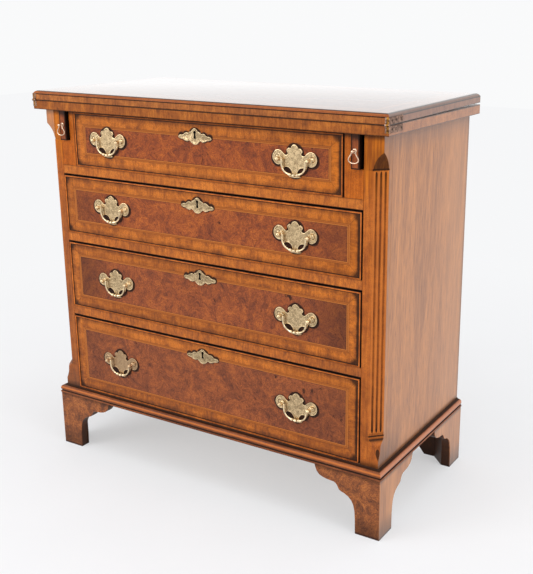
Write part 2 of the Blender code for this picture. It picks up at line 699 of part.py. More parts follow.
def plate_mesh():
    """Bat-wing plate with its two ball-ended posts, its origin on the drawer's face at the pivots' height."""
    right = [(x * PLATE_HALF_WIDTH, z * PLATE_HEIGHT) for x, z in PLATE_SHARES]
    left = [(-x, z) for x, z in reversed(right[1:-1])]
    plate = prism(right + left, "y", -SEAM - PLATE_THICKNESS, -SEAM)
    posts = []
    holes = []
    neck_angle = -math.acos(POST_RADIUS / BALL_RADIUS)
    profile = [(COLLAR_RADIUS, PLATE_THICKNESS), (COLLAR_RADIUS, PLATE_THICKNESS + COLLAR_HEIGHT),
               (POST_RADIUS, PLATE_THICKNESS + 2 * COLLAR_HEIGHT)]
    profile += ball_profile(BALL_RADIUS, BALL_REACH, neck_angle, BALL_END_ANGLE)
    for side in (-1, 1):
        x = side * POST_SPACING / 2
        posts.append(turned(profile, (x, 0, 0), (0, -1, 0)))
        reach = POST_RADIUS + OVERRUN
        holes.append(turned(((PIVOT_HOLE_RADIUS, x - reach), (PIVOT_HOLE_RADIUS, x + reach)),
                            (0, -PIVOT_REACH, 0), (1, 0, 0)))
    return cut(joined(plate, *posts), *holes)


def keyhole_outline():
    """Keyhole round the origin: round head on top, waist, and a narrower round foot."""
    top = KEYHOLE_HEIGHT / 2 - KEYHOLE_HEAD_RADIUS
    bottom = -KEYHOLE_HEIGHT / 2 + KEYHOLE_FOOT_RADIUS
    outline = []
    for centre, radius, first in ((top, KEYHOLE_HEAD_RADIUS, -1), (bottom, KEYHOLE_FOOT_RADIUS, 1)):
        opening = math.asin(KEYHOLE_WAIST / radius)
        start = -math.pi / 2 + opening if first < 0 else math.pi / 2 + opening
        for step in range(ROUND_SEGMENTS - 2):
            angle = start + (2 * math.pi - 2 * opening) * step / (ROUND_SEGMENTS - 3)
            outline.append((radius * math.cos(angle), centre + radius * math.sin(angle)))
    return outline


def keyhole_cutter(across, height, near, far):
    """Cutter of the keyhole's section, its middle at x across and z height, from y near to y far."""
    return prism([(x + across, z + height) for x, z in keyhole_outline()], "y", near, far)


def escutcheon_mesh():
    """Escutcheon, its origin on the drawer's face at the middle of the keyhole."""
    right = [(x * ESCUTCHEON_HALF_WIDTH, z * ESCUTCHEON_HEIGHT) for x, z in ESCUTCHEON_SHARES]
    left = [(-x, z) for x, z in reversed(right[1:-1])]
    plate = prism(right + left, "y", -SEAM - ESCUTCHEON_THICKNESS, -SEAM)
    return cut(plate, keyhole_cutter(0.0, 0.0, -ESCUTCHEON_THICKNESS - OVERRUN, OVERRUN))


def drawer_front(half, low, high, key_height):
    """Front board with its cockbead, keyhole and the lock's housing in its back, open at the top edge."""
    board = block((-half, half), (-COCKBEAD_PROUD, FRONT_THICKNESS), (low, high))
    field = block((-half + COCKBEAD_WIDTH, half - COCKBEAD_WIDTH), (-COCKBEAD_PROUD - OVERRUN, 0.0),
                  (low + COCKBEAD_WIDTH, high - COCKBEAD_WIDTH))
    lock_half = LOCK_WIDTH / 2 + SEAM
    housing = block((BRASS_OFFSET - lock_half, BRASS_OFFSET + lock_half),
                    (FRONT_THICKNESS - LOCK_DEPTH - SEAM, FRONT_THICKNESS + OVERRUN),
                    (key_height - LOCK_BELOW_KEY - SEAM, high + OVERRUN))
    return cut(board, field, housing, keyhole_cutter(BRASS_OFFSET, key_height, -OVERRUN, FRONT_THICKNESS))


def drawer_box(half, low, high):
    """Two sides, back and bottom of a drawer; the front board closes it."""
    front = FRONT_THICKNESS + SEAM
    back = back_front - BOX_BACK_GAP
    top = high - BOX_TOP_DROP
    inner = half - BOX_SIDE_THICKNESS
    body = block((-half, half), (front, back), (low, top))
    inside = block((-inner, inner), (front - OVERRUN, back - BOX_SIDE_THICKNESS),
                   (low + BOX_BOTTOM_RISE + BOX_BOTTOM_THICKNESS, top + OVERRUN))
    below = block((-inner, inner), (front - OVERRUN, back - BOX_SIDE_THICKNESS),
                  (low - OVERRUN, low + BOX_BOTTOM_RISE))
    return cut(body, inside, below)


def lock_mesh(above_key):
    """Lock case in the back of a drawer front, with its keyway; its origin is in the keyhole's middle."""
    case = block((-LOCK_WIDTH / 2, LOCK_WIDTH / 2), (FRONT_THICKNESS - LOCK_DEPTH, FRONT_THICKNESS),
                 (-LOCK_BELOW_KEY, above_key))
    keyway = keyhole_cutter(0.0, 0.0, 0.0, FRONT_THICKNESS - LOCK_DEPTH + LOCK_KEYWAY_DEPTH)
    return cut(case, keyway)


def drawers(root):
    """The drawers, each with its front, box, lock, escutcheon and two handles, under one sliding empty."""
    plate = plate_mesh()
    bail = bail_mesh()
    escutcheon = escutcheon_mesh()
    lock = lock_mesh(ESCUTCHEON_DROP - DRAWER_TOP_GAP)
    for number, (floor, bay_height) in enumerate(zip(bay_floors, DRAWER_BAY_HEIGHTS), start=1):
        name = "drawer_%d_" % number
        half = (top_bay_half if number == 1 else bay_half) - DRAWER_SIDE_GAP
        low = SEAM
        high = bay_height - DRAWER_TOP_GAP
        key_height = bay_height - ESCUTCHEON_DROP
        keyhole = Vector((BRASS_OFFSET, 0, key_height))
        handle_height = (low + high) / 2 + HANDLE_RISES[number - 1]
        slide = pivot(name + "slide", Vector((0, 0, floor)), root)
        piece(name + "front", drawer_front(half, low, high, key_height), BURR_FRONT, slide)
        piece(name + "box", drawer_box(half, low, high), SECONDARY_WOOD, slide)
        piece(name + "lock", lock, STEEL, slide, keyhole)
        piece(name + "escutcheon", escutcheon, BRASS, slide, keyhole)
        for side_name, side in (("left_", -1), ("right_", 1)):
            place = Vector((BRASS_OFFSET + side * handle_half_spread, 0, handle_height))
            piece(name + side_name + "plate", plate, BRASS, slide, place)
            piece(name + side_name + "bail", bail, BRASS, slide, place + Vector((0, -PIVOT_REACH, 0)))


def ring_mesh():
    """Pear-shaped drop ring, its origin on the axis of its top bar."""
    right = [(x * RING_HALF_WIDTH, -z * RING_DROP) for x, z in RING_SHARES]
    left = [(-x, z) for x, z in reversed(right)]
    points = right + [(0.0, -RING_DROP)] + left
    return swept_wire(points, [RING_WIRE_RADIUS] * len(points), True)


def ring_post_mesh():
    """Rosette and ball-ended post that carries the drop ring, its origin on the loper's face."""
    neck_angle = -math.acos(RING_POST_RADIUS / RING_BALL_RADIUS)
    profile = [(ROSETTE_RADIUS, SEAM), (ROSETTE_RADIUS, ROSETTE_THICKNESS),
               (RING_POST_RADIUS, 2 * ROSETTE_THICKNESS)]
    middle = RING_POST_LENGTH + RING_BALL_RADIUS / 2
    profile += ball_profile(RING_BALL_RADIUS, middle, neck_angle, BALL_END_ANGLE)
    post = turned(profile, (0, 0, 0), (0, -1, 0))
    reach = RING_POST_RADIUS + OVERRUN
    along_hole = ((RING_HOLE_RADIUS, -reach), (RING_HOLE_RADIUS, reach))
    hole = turned(along_hole, (0, -RING_PIVOT_REACH, 0), (1, 0, 0))
    return cut(post, hole)


def lopers(root):
    """The two lopers, each with its post and drop ring, under one sliding empty."""
    post = ring_post_mesh()
    ring = ring_mesh()
    half = LOPER_WIDTH / 2
    for side_name, side in (("left_loper", -1), ("right_loper", 1)):
        slide = pivot(side_name + "_slide", Vector((side * loper_middle, -LOPER_PROUD, loper_top)), root)
        bar = block((-half, half), (0.0, LOPER_PROUD + loper_back), (-LOPER_HEIGHT, 0.0))
        piece(side_name, bar, WALNUT_FRONT, slide)
        place = Vector((0, 0, -RING_PIVOT_DROP))
        piece(side_name + "_ring_post", post, BRASS, slide, place)
        piece(side_name + "_ring", ring, BRASS, slide, place + Vector((0, -RING_PIVOT_REACH, 0)))


def carcass(root):
    """Side boards, posts, back, frames, loper channels, base moulding and feet."""
    side = block((side_inner, half_width), (POST_DEPTH + SEAM, CARCASS_DEPTH), (carcass_base, carcass_top))
    both_sides("side", side, WALNUT_SIDE, root)
    both_sides("corner_post", corner_post(), WALNUT_FRONT, root)
    panel_half = side_inner - SEAM
    back = block((-panel_half, panel_half), (back_front, CARCASS_DEPTH), (carcass_base, carcass_top))
    piece("back_panel", back, SECONDARY_WOOD, root)
    carcass_frames(root)
    both_sides("loper_channel", loper_channel(), WALNUT_FRONT, root)
    piece("base_moulding", base_moulding(), WALNUT_FRONT, root)
    both_sides("front_foot", foot(False), BURR_FRONT, root)
    both_sides("rear_foot", foot(True), WALNUT_SIDE, root)


clear_scene()
chest = pivot("chest", Vector((0, front_plane_y, 0)), None)
carcass(chest)
fold_over_top(chest)
lopers(chest)
drawers(chest)
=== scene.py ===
"""The bachelors chest dressed for its photograph: every board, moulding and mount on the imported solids.

Lengths are in metres in the row frame: x to the chest's right, -y to its front, z up from the floor.
"""
import json
import math

import bmesh
import bpy
import numpy as np
from mathutils import Matrix, Vector

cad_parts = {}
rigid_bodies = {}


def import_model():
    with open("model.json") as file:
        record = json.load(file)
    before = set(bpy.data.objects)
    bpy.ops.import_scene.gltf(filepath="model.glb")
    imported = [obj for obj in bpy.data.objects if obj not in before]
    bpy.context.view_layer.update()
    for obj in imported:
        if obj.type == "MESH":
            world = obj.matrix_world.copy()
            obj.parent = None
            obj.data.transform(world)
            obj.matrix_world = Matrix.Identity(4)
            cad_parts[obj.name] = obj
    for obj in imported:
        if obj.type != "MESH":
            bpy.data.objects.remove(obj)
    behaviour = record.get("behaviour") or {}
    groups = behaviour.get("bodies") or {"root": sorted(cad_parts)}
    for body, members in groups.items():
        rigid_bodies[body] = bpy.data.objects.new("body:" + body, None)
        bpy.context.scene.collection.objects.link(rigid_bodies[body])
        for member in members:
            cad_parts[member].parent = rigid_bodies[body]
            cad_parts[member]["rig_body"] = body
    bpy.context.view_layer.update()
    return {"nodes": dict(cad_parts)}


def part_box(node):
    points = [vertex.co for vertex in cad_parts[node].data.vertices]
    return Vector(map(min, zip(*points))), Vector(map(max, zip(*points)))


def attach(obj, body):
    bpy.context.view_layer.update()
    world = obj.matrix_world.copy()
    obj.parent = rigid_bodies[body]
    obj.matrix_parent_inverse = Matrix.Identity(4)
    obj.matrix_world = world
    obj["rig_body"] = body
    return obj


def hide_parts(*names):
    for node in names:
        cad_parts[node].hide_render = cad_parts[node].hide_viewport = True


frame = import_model()

# Side boards
# Two walnut boards with upright grain, glued between the corner posts and the back. They are polished hard,
# so that they carry a haze of the room. They carry painted shade under the top and a painted sheen toward
# the back, and they are darker along their lower and back edges.


class Layer:
    """A colour, or a number that varies over a piece: one output of its material's nodes. Sums add nodes."""

    def __init__(self, nodes, socket):
        self.nodes, self.socket = nodes, socket

    def __add__(self, other):
        return self.nodes.sum("ADD", self, other)

    def __sub__(self, other):
        return self.nodes.sum("SUBTRACT", self, other)

    def __rsub__(self, other):
        return self.nodes.sum("SUBTRACT", other, self)

    def __mul__(self, other):
        return self.nodes.sum("MULTIPLY", self, other)

    def __truediv__(self, other):
        return self.nodes.sum("DIVIDE", self, other)

    def __lt__(self, other):
        return self.nodes.sum("LESS_THAN", self, other)

    def __gt__(self, other):
        return self.nodes.sum("GREATER_THAN", self, other)

    def __abs__(self):
        return self.nodes.sum("ABSOLUTE", self)

    def scaled(self, by, lift):
        """This times by, plus lift."""
        return self.nodes.sum("MULTIPLY_ADD", self, by, lift)

    def between(self, start, end):
        """0 where this is at start and 1 where it is at end, smooth between them."""
        made = self.nodes.node("MapRange", {"interpolation_type": "SMOOTHSTEP"}, Value=self)
        made.inputs["From Min"].default_value = start
        made.inputs["From Max"].default_value = end
        return Layer(self.nodes, made.outputs["Result"])

    def band(self, low, high, soft):
        """1 where this is between low and high, falling to 0 over soft outside them."""
        return self.between(low - soft, low) * self.between(high + soft, high)

    def stained(self, share, stain=(0.010, 0.005, 0.003)):
        """This colour with a stain laid over it by share, as dark as old polish where no other is named."""
        return self.nodes.mixed(share, self, stain)


def larger(first, second):
    return first.nodes.sum("MAXIMUM", first, second)


def smaller(first, second):
    return first.nodes.sum("MINIMUM", first, second)


class Nodes:
    """A shader tree that is built node by node."""

    def __init__(self, tree):
        self.tree = tree

    def node(self, kind, settings=None, **inputs):
        made = self.tree.nodes.new("ShaderNode" + kind)
        for name, value in (settings or {}).items():
            setattr(made, name, value)
        for name, value in inputs.items():
            self.feed(made.inputs[name.replace("_", " ")], value)
        return made

    def out(self, kind, output, settings=None, **inputs):
        """One output of a new node."""
        return Layer(self, self.node(kind, settings, **inputs).outputs[output])

    def feed(self, socket, value):
        if isinstance(value, Layer):
            self.tree.links.new(value.socket, socket)
        elif socket.type == "RGBA":
            socket.default_value = (*value, 1.0)
        else:
            socket.default_value = value

    def filled(self, made, output, values):
        """An output of the node, with a value for each of its numbered sockets."""
        for number, value in values.items():
            self.feed(made.inputs[number], value)
        return Layer(self, made.outputs[output])

    def sum(self, operation, *values):
        return self.filled(self.node("Math", {"operation": operation}), 0, dict(enumerate(values)))

    def mixed(self, share, first, second):
        """Colour that is first where share is 0 and second where it is 1."""
        return self.filled(self.node("Mix", {"data_type": "RGBA"}), 2, {0: share, 6: first, 7: second})


class Polish(Nodes):
    """A finish on one material, worked out from the place on the chest; its methods add to its nodes."""

    def __init__(self, name, roughness, **fixed):
        self.material = bpy.data.materials.new(name)
        self.material.use_nodes = True
        super().__init__(self.material.node_tree)
        self.shader = self.tree.nodes["Principled BSDF"]
        self.gloss(Roughness=roughness, **fixed)
        self.place = self.out("TexCoord", "Object")
        self.x, self.y, self.z = self.split(self.place)

    def gloss(self, **sockets):
        """Feed the shader's own sockets by name."""
        for name, value in sockets.items():
            self.feed(self.shader.inputs[name.replace("_", " ")], value)

    def split(self, place):
        return [Layer(self, part) for part in self.node("SeparateXYZ", Vector=place).outputs]

    def mark(self, name):
        """The number that the mesh holds at each point under name."""
        return self.out("Attribute", "Fac", {"attribute_name": name})

    def tones(self, share, *stops):
        """Colour along a ramp whose stops hold a position and a colour."""
        ramp = self.node("ValToRGB", Fac=share)
        elements = ramp.color_ramp.elements
        for element, (position, colour) in zip(elements, (stops[0], stops[-1])):
            element.position, element.color = position, (*colour, 1.0)
        for position, colour in stops[1:-1]:
            elements.new(position).color = (*colour, 1.0)
        return Layer(self, ramp.outputs["Color"])

    def cloud(self, waves, detail=3.0, rough=0.55, warp=0.0, place=None, shift=0.0):
        """Noise from 0 to 1, with so many waves in a metre, or so many along x, y and z."""
        if isinstance(waves, float):
            waves = (waves, waves, waves)
        spread = self.out("Mapping", 0, Vector=place or self.place, Location=(shift, shift, shift),
                          Scale=waves)
        return self.out("TexNoise", "Fac", Vector=spread, Scale=1.0, Detail=detail, Roughness=rough,
                        Distortion=warp)

    def figure(self, along, place=None, shift=0.0, fine=430.0, broad=55.0, run=0.035):
        """Walnut figure along one axis: how light it is, and how deep its pores are."""
        def waves(across, lengthwise):
            return tuple(lengthwise if axis == along else across for axis in "xyz")
        lines = self.cloud(waves(fine, fine * run), 4.0, 0.6, 0.3, place, shift)
        bands = self.cloud(waves(broad, broad * run * 2.5), 3.0, 0.5, 0.8, place, shift + 7.0)
        pores = self.cloud(waves(fine * 2.4, fine * run * 2.0), 2.0, 0.5, 0.0, place, shift + 3.0)
        return lines * 0.45 + bands * 0.55, pores.between(0.56, 0.72)

    def laid(self, colour, rough, height, strength=0.12, depth=0.0002):
        """Lay the colour, the gloss that varies, and the relief of grain and wear on the material."""
        relief = self.out("Bump", "Normal", Height=height, Strength=strength, Distance=depth)
        self.gloss(Base_Color=colour, Roughness=rough, Normal=relief)
        return self


def linked(name, data):
    """A new object in the scene, at the origin."""
    piece = bpy.data.objects.new(name, data)
    bpy.context.scene.collection.objects.link(piece)
    return piece


def placed(name, mesh, body, nodes, polish, smooth):
    """A finished piece that rides in place of its nodes, shaded smooth but for edges sharper than smooth."""
    piece = linked(name, mesh)
    mesh.materials.clear()
    mesh.materials.append(polish.material)
    mesh.shade_smooth()
    mesh.set_sharp_from_angle(angle=math.radians(smooth))
    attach(piece, body)
    if nodes:
        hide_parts(*nodes)
    return piece


def eased(node, polish, width=0.0006, segments=2, turn=30.0, reshape=None):
    """The node's board with its arrises taken off: its mesh merged, each outward edge bevelled by width."""
    bm = bmesh.new()
    bm.from_mesh(frame["nodes"][node].data)
    bmesh.ops.remove_doubles(bm, verts=bm.verts, dist=1e-6)
    bmesh.ops.dissolve_limit(bm, angle_limit=math.radians(0.1), verts=bm.verts, edges=bm.edges)
    weights = bm.edges.layers.float.new("bevel_weight_edge")
    for edge in bm.edges:
        edge[weights] = float(edge.is_convex and edge.calc_face_angle(0.0) > math.radians(turn))
    mesh = bpy.data.meshes.new(node + "_eased")
    bm.to_mesh(mesh)
    bm.free()
    if "custom_normal" in mesh.attributes:
        mesh.attributes.remove(mesh.attributes["custom_normal"])
    if reshape is not None:
        places = np.zeros(len(mesh.vertices) * 3)
        mesh.vertices.foreach_get("co", places)
        mesh.vertices.foreach_set("co", reshape(places.reshape(-1, 3)).ravel())
    piece = placed(node + "_eased", mesh, frame["nodes"][node]["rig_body"], [node], polish, turn)
    arris = piece.modifiers.new("arris", "BEVEL")
    arris.limit_method = "WEIGHT"
    arris.width = width
    arris.segments = segments
    arris.harden_normals = True
    return piece


front_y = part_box("right_corner_post")[0].y
carcass_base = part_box("right_side")[0].z
carcass_half, back_y, carcass_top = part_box("right_side")[1]


def side_colour(polish):
    """Upright walnut of the sides: fine streaks, slanted figure, short dark pores; darker low in front."""
    slant = polish.out("Mapping", 0, Vector=polish.place, Rotation=(0.045, 0.0, 0.0))
    light, pores = polish.figure("z", slant, 0.0, 560.0, 130.0, 0.036)
    wide = polish.cloud((18.0, 22.0, 3.4), 6.0, 0.65, 0.9, slant)
    tone = light * 0.50 + wide * 0.50
    colour = polish.tones(tone, (0.38, (0.28, 0.100, 0.028)), (0.50, (0.44, 0.164, 0.044)),
                          (0.61, (0.57, 0.220, 0.058)))
    fleck = polish.cloud((620.0, 620.0, 34.0), 3.0, 0.6, place=slant, shift=1.0)
    colour = colour.stained(fleck.between(0.50, 0.63) * 0.44, (0.12, 0.042, 0.018))
    # Painted sheen: the sides are painted lighter toward the back.
    sheen_to_back = polish.y.between(front_y + 0.180, back_y - 0.030) * 0.34
    colour = colour.stained(sheen_to_back, (0.60, 0.265, 0.105))
    # Painted shade: the sides are painted a greyish brown just under the overhanging top.
    under = polish.z.between(carcass_top - 0.045, carcass_top)
    grey = polish.cloud(14.0, 3.0, 0.5)
    colour = colour.stained(under * 0.55, (0.19, 0.095, 0.060))
    front = polish.y.between(front_y + 0.120, front_y + 0.020)
    base = polish.z.between(carcass_base + 0.090, carcass_base + 0.022) * front
    base = larger(base * 0.75, polish.z.between(carcass_base + 0.030, carcass_base + 0.019) * 0.7)
    base = base * grey.scaled(0.8, 0.5)
    back = polish.y.between(back_y - 0.012, back_y - 0.001) * 0.5
    return colour.stained(larger(base, back), (0.05, 0.020, 0.011)), light, pores


side_haze, haze_roughness = 0.42, 0.22
polish = Polish("side_walnut", 0.34, Coat_Weight=side_haze, Coat_Roughness=haze_roughness)
colour, light, pores = side_colour(polish)
polish.laid(colour, light.scaled(-0.12, 0.40), pores)
for side in ("left", "right"):
    eased(side + "_side", polish)

# Corner posts
# Solid walnut posts whose outer corner is planed to a broad chamfer with three flutes cut in it. Each chamfer
# runs out in a carved lamb's tongue above and below, with a cross groove where the tongue begins.


def skin(rings, capped=True):
    """Faces between neighbouring rings of points, first to last, the end rings closed by one face each."""
    count, size = rings.shape[:2]
    number = np.arange(count * size).reshape(count, size)
    after = np.roll(number, -1, axis=1)
    quads = np.stack([number[:-1], after[:-1], after[1:], number[1:]], axis=-1).reshape(-1, 4).tolist()
    return rings.reshape(-1, 3), quads + ([number[0].tolist(), number[-1].tolist()] if capped else [])


def made(name, shells, body, nodes, slot, polish, smooth=35.0, **marks):
    """A piece from shells of points and faces, in place of its nodes; a mark is a number at each point."""
    starts = np.cumsum([0] + [len(points) for points, faces in shells])
    faces = [[corner + start for corner in face] for (points, group), start in zip(shells, starts.tolist())
             for face in group]
    mesh = bpy.data.meshes.new(name)
    mesh.from_pydata(np.concatenate([points for points, group in shells]).tolist(), [], faces)
    for mark, values in marks.items():
        mesh.attributes.new(mark, "FLOAT", "POINT").data.foreach_set("value", np.concatenate(values))
    bm = bmesh.new()
    bm.from_mesh(mesh)
    bmesh.ops.recalc_face_normals(bm, faces=bm.faces)
    bm.to_mesh(mesh)
    bm.free()
    return placed(name, mesh, body, nodes, polish, smooth)


post_width = 0.0365
post_depth = 0.030
ledge = 0.0005
chamfer_leg = 0.0205
upper_tip, upper_tongue = 0.6920, 0.0275
lower_tip, lower_tongue = 0.1480, 0.0420
flutes_low, flutes_high = 0.212, 0.650
leaf_middle, leaf_half = 0.1600, 0.0110
flute_half, flute_depth, flute_pitch = 0.0022, 0.0014, 0.0079
upper_tongue_shares = ((0.0, 0.0), (0.13, 0.24), (0.32, 0.5), (0.56, 0.73), (0.8, 0.86), (1.0, 0.93))
lower_tongue_shares = (
    (0.0, 1.0), (0.06, 0.98), (0.12, 0.90), (0.20, 0.68), (0.3, 0.46), (0.39, 0.38), (0.53, 0.36),
    (0.68, 0.31), (0.82, 0.2), (0.93, 0.09), (1.0, 0.0))


def corner_post(side):
    """Section of the post carried up its height: the chamfer's leg follows the tongues, the flutes sink below
    its face as circle arcs that narrow toward their ends, and a groove crosses it below and above."""
    start_low, start_high = lower_tip + lower_tongue, upper_tip - upper_tongue
    heights = np.unique(np.concatenate([
        np.linspace(carcass_base, lower_tip, 4), np.linspace(lower_tip, start_low + 0.006, 60),
        np.linspace(start_low + 0.006, flutes_low, 26), np.linspace(flutes_low, flutes_high, 30),
        np.linspace(flutes_high, start_high, 26), np.linspace(start_high, upper_tip, 36),
        np.linspace(upper_tip, carcass_top, 3)]))
    upper = np.interp((upper_tip - heights) / upper_tongue, *zip(*upper_tongue_shares))
    lower = np.interp((start_low - heights) / lower_tongue, *zip(*lower_tongue_shares))
    leg = np.maximum(np.minimum(upper, lower) * chamfer_leg, 0.0006)
    groove_low = np.clip(1.6 - abs(heights - start_low - 0.0022) / 0.0013, 0.0, 1.0)
    groove_high = np.clip(1.6 - abs(heights - start_high + 0.0022) / 0.0013, 0.0, 1.0)
    leg = leg + 0.0017 * (groove_low + groove_high)
    across = np.linspace(0.0, 1.0, 81)
    face = (across[None] - 0.5) * leg[:, None] * math.sqrt(2)
    low, high = start_low + 0.0085, start_high - 0.0045
    end = np.clip(np.minimum(heights - low, high - heights) / 0.007, 0.0, 1.0)
    opening = np.sqrt(1 - (1 - end) ** 2)[:, None]
    offset = abs(face[..., None] - np.array([-1, 0, 1]) * flute_pitch).min(axis=2)
    sunk = flute_depth * opening * np.clip(1 - (offset / (flute_half * np.maximum(opening, 0.05))) ** 2, 0, 1)
    inward = sunk / math.sqrt(2)
    chamfer = np.stack([carcass_half - leg[:, None] * (1 - across) - inward,
                        leg[:, None] * across + inward,
                        np.broadcast_to(heights[:, None], face.shape)], axis=-1)
    inner, outer = carcass_half - post_width, carcass_half

    def column(x, y):
        return np.stack([np.broadcast_to(x, heights.shape), np.broadcast_to(y, heights.shape), heights],
                        -1)[:, None]

    rings = np.concatenate([
        column(inner, post_depth), column(inner, ledge), column(inner + ledge, 0.0), chamfer,
        column(outer, post_depth)], axis=1)
    # Painted shading of the carving: painted shade in the tongues, the cross grooves, the lower tongue's lens
    # and the flutes, strongest toward the flutes' ends, and a painted highlight on the ridges between the
    # flutes.
    tongue = np.clip((heights - start_high + 0.003) / 0.002, 0, 1) * (heights < upper_tip + 0.001)
    leaf = np.sqrt(np.clip(1 - ((heights - leaf_middle) / leaf_half) ** 2, 0, 1))[:, None] \
        - abs(across[None] - 0.5) * 2.2
    stop = np.clip(groove_low + groove_high, 0, 1) + np.exp(-((heights - start_low + 0.0045) / 0.0030) ** 2)
    stop = stop + 0.35 * np.exp(-((heights - start_low - 0.007) / 0.005) ** 2)
    ends = np.exp(-np.clip(high - heights, 0, 1) / 0.030) + np.exp(-np.clip(heights - low, 0, 1) / 0.050)
    ends = np.clip(ends[:, None], 0, 1)
    cut = np.clip((sunk / flute_depth - 0.55 + 0.45 * ends) / 0.35, 0, 1) * (0.42 + 0.58 * ends)
    ridge = np.clip(1 - sunk / flute_depth * 3, 0, 1) * (heights > low)[:, None] * (heights < high)[:, None]
    carved = np.clip(tongue * 0.84 + stop, 0, 1)[:, None] + np.clip(leaf * 4.0, 0, 0.92) - 0.5 * ridge
    dark = np.zeros(rings.shape[:2])
    dark[:, 3:-1] = np.clip(carved + cut, -0.5, 1)
    dark[:, 3] *= 0.4
    rings = rings * (side, 1, 1) + (0, front_y, 0)
    return skin(rings), dark.ravel()


speckle_stain = (0.085, 0.035, 0.020)
shade_depth_under_top = 0.012


def walnut_front(name, along, dark, middle, light, shift, fine=430.0, broad=55.0, run=0.035, lift=0.0):
    """Finish of a piece on the chest's face: three tones of walnut along its figure, darker in its pores;
    lift moves the figure toward its light tone."""
    polish = Polish(name, 0.34, Specular_IOR_Level=0.12)
    figure, pores = polish.figure(along, None, shift, fine, broad, run)
    tone = figure * 0.62 + polish.cloud(70.0, 5.0, 0.7, 0.3, shift=shift + 1.0) * 0.38
    colour = polish.tones(tone, (0.37 - lift, dark), (0.49 - lift, middle), (0.60 - lift, light))
    speckle = polish.cloud(640.0, 3.0, 0.6, shift=shift)
    worn = larger(pores * 0.30, speckle.between(0.48, 0.66) * 0.42)
    return polish, colour.stained(worn, speckle_stain), figure, pores


polish, colour, figure, pores = walnut_front(
    "post_walnut", "z", (0.22, 0.059, 0.015), (0.43, 0.110, 0.017), (0.60, 0.172, 0.024), shift=4.0,
    broad=110.0)
patches = polish.cloud((30.0, 30.0, 12.0), 4.0, 0.6, 0.5, shift=2.0)
colour = colour.stained(patches.between(0.50, 0.70) * 0.4, (0.22, 0.058, 0.011))
golden = polish.tones(figure, (0.40, (0.36, 0.086, 0.004)), (0.58, (0.66, 0.185, 0.007)))
colour = colour.stained(polish.z.between(0.590, 0.670) * 0.80, golden)
# The carving's painted shading: a painted highlight on the flute ridges and painted shade in the carving.
carved = polish.mark("carved")
colour = colour.stained(carved.between(-0.10, -0.45) * 0.55, (0.62, 0.185, 0.035))
colour = colour.stained(carved * 0.93)
# Painted shade under the top.
colour = colour.stained(polish.z.between(carcass_top - shade_depth_under_top, carcass_top - 0.002) * 0.75)
colour = colour.stained(polish.z.between(carcass_base + 0.032, carcass_base + 0.019) * 0.7)
at_chamfer = abs(polish.x).between(carcass_half - chamfer_leg, carcass_half - chamfer_leg + 0.001)
at_left = polish.x.between(0.01, -0.01)
# Painted sheen: the left post's chamfer is painted paler partway up.
painted_sheen_on_chamfer = polish.z.between(0.36, 0.52) * 0.35 * (at_chamfer * at_left)
colour = colour.stained(painted_sheen_on_chamfer, (0.80, 0.46, 0.28))
# The left post is darker from partway down, most toward its foot.
left_darkening = larger(polish.z.between(0.60, 0.40) * 0.22, polish.z.between(0.21, 0.15) * 0.5)
colour = colour.stained(left_darkening * at_left, (0.10, 0.055, 0.040))
on_side = abs(polish.x).between(carcass_half - 0.0005, carcass_half - 0.0001)
colour = colour.stained(on_side, side_colour(polish)[0])
polish.gloss(Coat_Weight=on_side * side_haze, Coat_Roughness=haze_roughness,
             Specular_IOR_Level=on_side.scaled(0.38, 0.12))
polish.laid(colour, carved.scaled(0.15, 0.40), pores)
for name, side in (("left", -1), ("right", 1)):
    shell, dark = corner_post(side)
    made(name + "_post", [shell], "carcass", [name + "_corner_post"], "walnut", polish, 40.0, carved=[dark])

# Back panel and bottom board
# Plain planed boards that nobody sees: the back is nailed on behind the sides, the bottom is glued between
# them. They are left without polish, and are a little grey with dust and age.

plain_wood = Polish("plain_boards", 0.62, Specular_IOR_Level=0.3)
light, pores = plain_wood.figure("x", fine=260.0, broad=26.0, run=0.03)
colour = plain_wood.tones(light, (0.30, (0.30, 0.18, 0.088)), (0.50, (0.43, 0.28, 0.145)),
                          (0.68, (0.53, 0.37, 0.21)))
dust = plain_wood.cloud(7.0, 4.0, 0.6)
colour = colour.stained(dust.between(0.45, 0.75), (0.27, 0.17, 0.095))
colour = colour.stained(pores * 0.3, (0.14, 0.07, 0.03))
plain_wood.laid(colour, dust.scaled(0.2, 0.5), pores, 0.3, 0.0003)
eased("back_panel", plain_wood)
eased("bottom_board", plain_wood)

# Rails
# The divisions between the drawers. Each is faced with walnut laid across its length, pieced from short
# leaves whose joints show as dark lines; behind the facing the runners and dust board are plain.


def leaves_of(polish, colour, run, per_metre, shift, strength=0.5):
    """Tone of short veneer leaves laid side by side along run, with a dark joint between neighbours."""
    spread = {"W": run + shift, "Scale": per_metre, "Randomness": 0.8}
    leaf = polish.out("TexVoronoi", "Color", {"voronoi_dimensions": "1D"}, **spread)
    edge = {"voronoi_dimensions": "1D", "feature": "DISTANCE_TO_EDGE"}
    joint = polish.out("TexVoronoi", "Distance", edge, **spread)
    tone = polish.out("SeparateColor", "Red", Color=leaf)
    colour = colour.stained(tone * 0.34, (0.20, 0.052, 0.012))
    joint = joint.between(0.0007 * per_metre, 0.0002 * per_metre)
    return colour.stained(joint * (tone > 0.45) * strength)


rail_thickness, bay_half_width, facing_depth = 0.018, 0.3375, 0.0205


